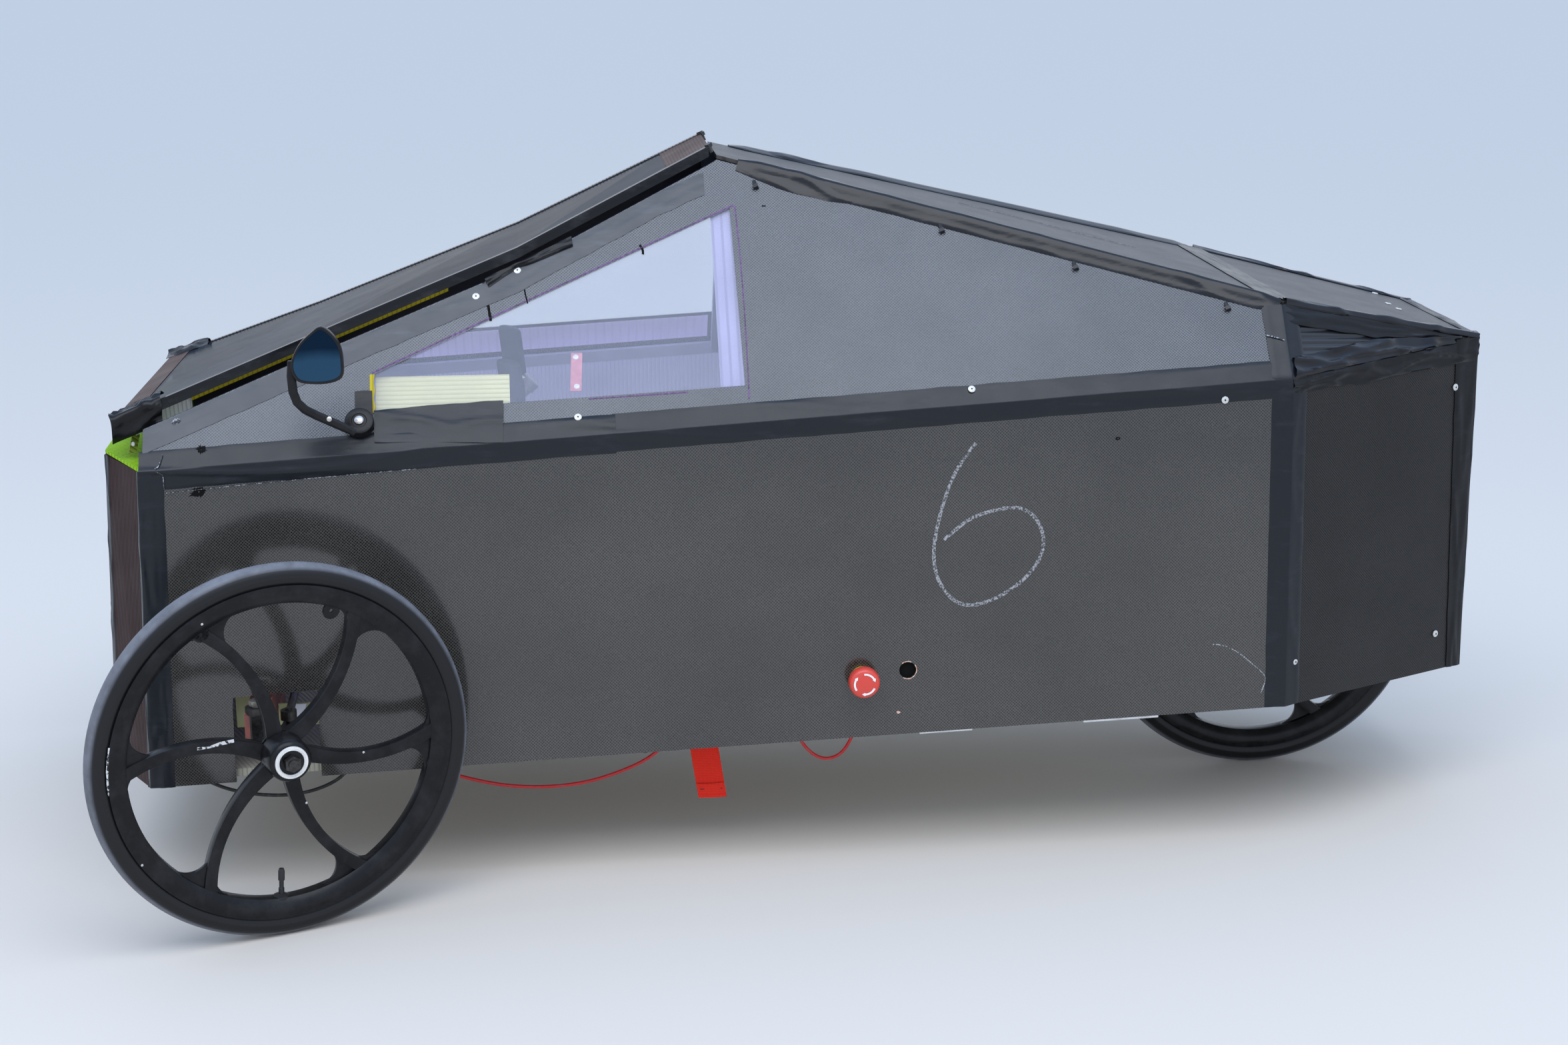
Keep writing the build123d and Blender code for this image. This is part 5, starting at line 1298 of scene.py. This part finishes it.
for vertex in cap.vertices:
    radius = math.hypot(vertex.co.x, vertex.co.z)
    if radius > TOOTHED_RADIUS:
        groove = 1 - TOOTH_DEPTH * (0.5 + 0.5 * math.cos(CAP_TEETH * math.atan2(vertex.co.z, vertex.co.x)))
        vertex.co.x *= groove
        vertex.co.z *= groove
cap.transform(Matrix.Translation(stop_face))
stand_in("stop_head", cap, button_red, "body", "stop_button")
arrow_white = grained("arrow_white", (0.85, 0.83, 0.80), 0.45, ((800, 2), 0.00005))
ARROW_RADIUS, ARROW_HALF_WIDTH, ARROW_HEAD, CAP_FACE = 0.0132, 0.0012, 0.0024, 0.03125
ARROW_SWEEP, HEAD_SWEEP = 64, 18
for number, start in enumerate((95, -25, -145)):
    rows = []
    for step in range(17):
        share = step / 16
        angle = math.radians(start - (ARROW_SWEEP + HEAD_SWEEP) * share)
        body_end = ARROW_SWEEP / (ARROW_SWEEP + HEAD_SWEEP)
        half = ARROW_HALF_WIDTH if share < body_end else ARROW_HEAD * (1 - share) / (1 - body_end) + 0.0001
        rows.append([stop_face + Vector((radius * math.cos(angle), -CAP_FACE, radius * math.sin(angle)))
                     for radius in (ARROW_RADIUS - half, ARROW_RADIUS + half)])
    thin_piece("stop_arrow_%d" % number, rows, 0.0002, arrow_white)
chipped_edge = mottled("chipped_edge", 0.6, (350, 3), (0.35, 0.65), ((0.55, 0.16, 0.05), (0.75, 0.70, 0.64)))
HOLE_X, HOLE_Z, HOLE_RADIUS = 0.1386, 0.259, 0.0109
for number, (start, end) in enumerate(((-120, 35), (65, 130))):
    rows = []
    for step in range(19):
        angle = math.radians(start + (end - start) * step / 18)
        width = 0.0009 + 0.0009 * abs(noise.noise(Vector((step * 0.9, number * 5.0, 0))))
        across, up = math.cos(angle), math.sin(angle)
        rows.append([side_point(HOLE_X + radius * across, HOLE_Z + radius * up, -1, 0.0003)
                     for radius in (HOLE_RADIUS, HOLE_RADIUS + width)])
    thin_piece("hole_edge_%d" % number, rows, 0.0003, chipped_edge)
# Painted shade: a black sheet behind the hole stands for the dark inside of the body seen through it.
hole_back_rows = [[side_point(x, z, -1, -0.0046) for z in (HOLE_Z + 0.016, HOLE_Z - 0.016)]
                  for x in (HOLE_X - 0.016, HOLE_X + 0.016)]
thin_piece("hole_back", hole_back_rows, 0.0006, black_marks_and_shade)
rows = [[side_point(x, z, -1, 0.0003) for z in (high, low)]
        for x, high, low in ((0.1240, 0.2046, 0.2028), (0.1256, 0.2054, 0.2014), (0.1272, 0.2049, 0.2022),
                             (0.1288, 0.2041, 0.2030))]
thin_piece("button_chip", rows, 0.0003, chipped_edge)


# Marks of use: a figure six drawn in chalk on the left lower side and a scrawl by its rear corner, grey
# dried adhesive and creases along the tape's edges, painted glints on the front tape's lower edge and on the
# crease at its nose corner, and a long scratch over the deck.
chalk = mottled("chalk", 0.9, (420, 3, 0.6), (0.42, 0.58), ((0.07, 0.07, 0.072), (0.36, 0.36, 0.37)),
                specular_ior_level=0.1)
SIX = ((0.2266, 0.5512), (0.2045, 0.5254), (0.1883, 0.4874), (0.1755, 0.4422), (0.1711, 0.4042),
       (0.1788, 0.3709), (0.2011, 0.3439), (0.2269, 0.3403), (0.2588, 0.3513), (0.2915, 0.3737),
       (0.3104, 0.3992), (0.3154, 0.4242), (0.3066, 0.4505), (0.2876, 0.4659), (0.2653, 0.4675),
       (0.2268, 0.4585), (0.2045, 0.4446), (0.1857, 0.4280))
drawn_line("chalk_six", SIX, 0.0045, chalk, seed=11)
SCRAWL = ((0.5371, 0.2769), (0.5467, 0.2774), (0.5699, 0.2667), (0.5934, 0.2461), (0.6088, 0.2320),
          (0.6073, 0.2222), (0.6023, 0.2090))
drawn_line("chalk_scrawl", SCRAWL, 0.0014, chalk, seed=12)
adhesive_and_glint = mottled("adhesive_and_glint", 0.6, (330, 3, 0.6), (0.50, 0.60), ((0.02, 0.022, 0.026), (0.36, 0.38, 0.42)),
                   ((300, 2), 0.0001))
# Painted glints: the next two lines stand for light caught along the front tape's lower edge and on the
# crease at the nose corner, drawn in the grey speckled colour of the adhesive.
drawn_line("tape_edge_front", ((-0.7805, 0.5210), (-0.6420, 0.5322), (-0.4609, 0.5421)), 0.0007, adhesive_and_glint,
           0.0013, 41)
drawn_line("corner_crease", ((-0.7816, 0.5658), (-0.7850, 0.5520), (-0.7920, 0.5500), (-0.7820, 0.5450),
                             (-0.7805, 0.5430), (-0.7805, 0.5260)), 0.0013, adhesive_and_glint, 0.0030, 42)
drawn_line("corner_flakes", ((-0.7700, 0.5990), (-0.7660, 0.6060), (-0.7620, 0.6010)), 0.0040, adhesive_and_glint,
           0.0020, 43)
drawn_line("wrap_crease", ((0.6075, 0.6700), (0.6180, 0.6680), (0.6300, 0.6640)), 0.0014, adhesive_and_glint, 0.0036,
           44)
# The scratch: share of the way from the deck's rear fold to the peak, place across
SCRATCH = ((0.520, 0.0540), (0.44, 0.0500), (0.36, 0.0400), (0.28, 0.0240), (0.185, 0.0100))
rows = []
for share, y in SCRATCH:
    spot = deck_corner[-1].lerp(peak_corner[-1], share)
    rows.append([Vector((spot.x, y + half, spot.z + 0.0012)) for half in (0.0009, -0.0009)])
thin_piece("deck_scratch", rows, 0.0003, adhesive_and_glint)


# Small pieces that show in the gaps: a green fluted upright with two rivets behind each corner of the nose,
# a pink strap riveted behind the window film, and a thin rod and a cut tie that hang below the floor.
strut_board = ribbed_sheet("strut_board", (0, 1, 0.3), 0.004, (0.20, 0.26, 0.03), (0.10, 0.14, 0.02), 0.5,
                           0.0003, 0.1)
strut_places = []
for side, side_name in SIDES:
    foot, head = Vector((-0.8250, side * 0.2560, 0.5590)), Vector((-0.8190, side * 0.2420, 0.5900))
    rows = [[spot + Vector((-0.0045, 0, 0)), spot + Vector((0.0045, -side * 0.0045, 0))]
            for spot in (foot, head)]
    thin_piece("nose_strut_" + side_name, rows, 0.003, strut_board)
    face = Vector((-0.45, side * 0.9, 0.1)).normalized()
    strut_places += [(foot.lerp(head, share) + face * 0.0025, face) for share in (0.35, 0.85)]
set_fasteners("strut_rivets", strut_places, rivet_head, 0.6, "body")
pink_strap = mottled("pink_strap", 0.6, (160, 3), (0.3, 0.7), ((0.66, 0.25, 0.30), (0.50, 0.17, 0.22)))
rows = [[side_point(x + lean, z, -1, -0.010) for x in (-0.2790, -0.2650)]
        for z, lean in ((0.6715, 0.0015), (0.6500, 0.0), (0.6290, -0.0015))]
thin_piece("inner_strap", rows, 0.0012, pink_strap)
set_fasteners("inner_strap_rivets",
              [(side_point(-0.272, z, -1, -0.0092), upper_out[-1]) for z in (0.667, 0.634)],
              rivet_head, 0.8, "body")
ROD_RADIUS = 0.0014
rod_rows = []
for share in (0.0, 0.5, 1.0):
    middle = Vector((-0.2790 + 0.0645 * share, -0.3000, 0.1680 - 0.0045 * share))
    rod_rows.append([middle + Vector((0, ROD_RADIUS * math.cos(turn), ROD_RADIUS * math.sin(turn)))
                     for turn in (0, 1.57, 3.14, 4.71)])
put("floor_rod", closed_rings("floor_rod", rod_rows), bright_aluminium, "body")
tail_rows = [[Vector((x + lean, -0.3020, z)) for x in (-0.1985, -0.1940)]
             for z, lean in ((0.1740, 0.0015), (0.1640, -0.0005), (0.1540, -0.0030))]
thin_piece("floor_tie_tail", tail_rows, 0.0012, tie_black)


# The red webbing strap is the loose end of a belt and hangs out under the floor. It is woven in flat ribs,
# and its end is turned up into a hem held by two rows of stitches, drawn as one band.
STRAP_WIDTH, STRAP_LENGTH = 0.037, 0.105
red_webbing, tree, shader = finish("red_webbing", (0.8, 0.03, 0.015), 0.7, specular_ior_level=0.2)
place = wire(tree, "ShaderNodeTexCoord").outputs["Object"]
ribs = wire(tree, "ShaderNodeTexWave", {"Vector": place, "Scale": 180.0, "Distortion": 0.3},
            bands_direction="X")
rows_across = wire(tree, "ShaderNodeTexWave", {"Vector": place, "Scale": 130.0, "Distortion": 0.4},
                   bands_direction="Z")
woven = {0: ribs.outputs["Fac"], 1: rows_across.outputs["Fac"]}
weave = wire(tree, "ShaderNodeMath", woven, operation="MULTIPLY").outputs[0]
tree.links.new(blend_colours(tree, weave, (0.80, 0.022, 0.012), (1.0, 0.060, 0.026)),
               shader.inputs["Base Color"])
relief(tree, shader, weave, 0.0006, 0.8)
strap_rows = []
for step in range(22):
    share = step / 21
    drop = STRAP_LENGTH * share
    middle = Vector((-0.1239 + 0.0148 * share, -0.240 + 0.004 * math.sin(share * 3.0),
                     0.1695 - drop * 0.985))
    across = Vector((1, 0.0, 0.02)).normalized()
    sway = Vector((0, 0.0012 * math.sin(share * 9), 0))
    row = []
    for place in (0.0, 0.02, 0.2, 0.4, 0.6, 0.8, 0.98, 1.0):
        curl = Vector((0, 0.0012 * math.cos(place * 5), 0))
        row.append(middle + sway + across * STRAP_WIDTH * (place - 0.5) + curl)
    strap_rows.append(row)
strap = thin_piece("red_webbing_strap", strap_rows, 0.0016, red_webbing)
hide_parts("red_strap")
hem_rows = [[point + Vector((0, -0.0026, 0)) for point in row] for row in strap_rows[-5:-1]]
hem = thin_piece("red_webbing_hem", hem_rows, 0.0012, red_webbing)
stitch_red = mottled("stitch_red", 0.7, (400, 2), (0.4, 0.6), ((0.30, 0.012, 0.008), (0.14, 0.004, 0.003)))
seam = [(row[1] + row[2]) / 2 for row in (hem_rows[1], hem_rows[2])]
seam_end = [(row[5] + row[6]) / 2 for row in (hem_rows[1], hem_rows[2])]
forward = Vector((0, -0.0011, 0))
stitch_rows = [[seam[0].lerp(seam[1], place) + forward, seam_end[0].lerp(seam_end[1], place) + forward]
               for place in (0.35, 0.65)]
stitches = thin_piece("red_webbing_stitches", stitch_rows, 0.0005, stitch_red)
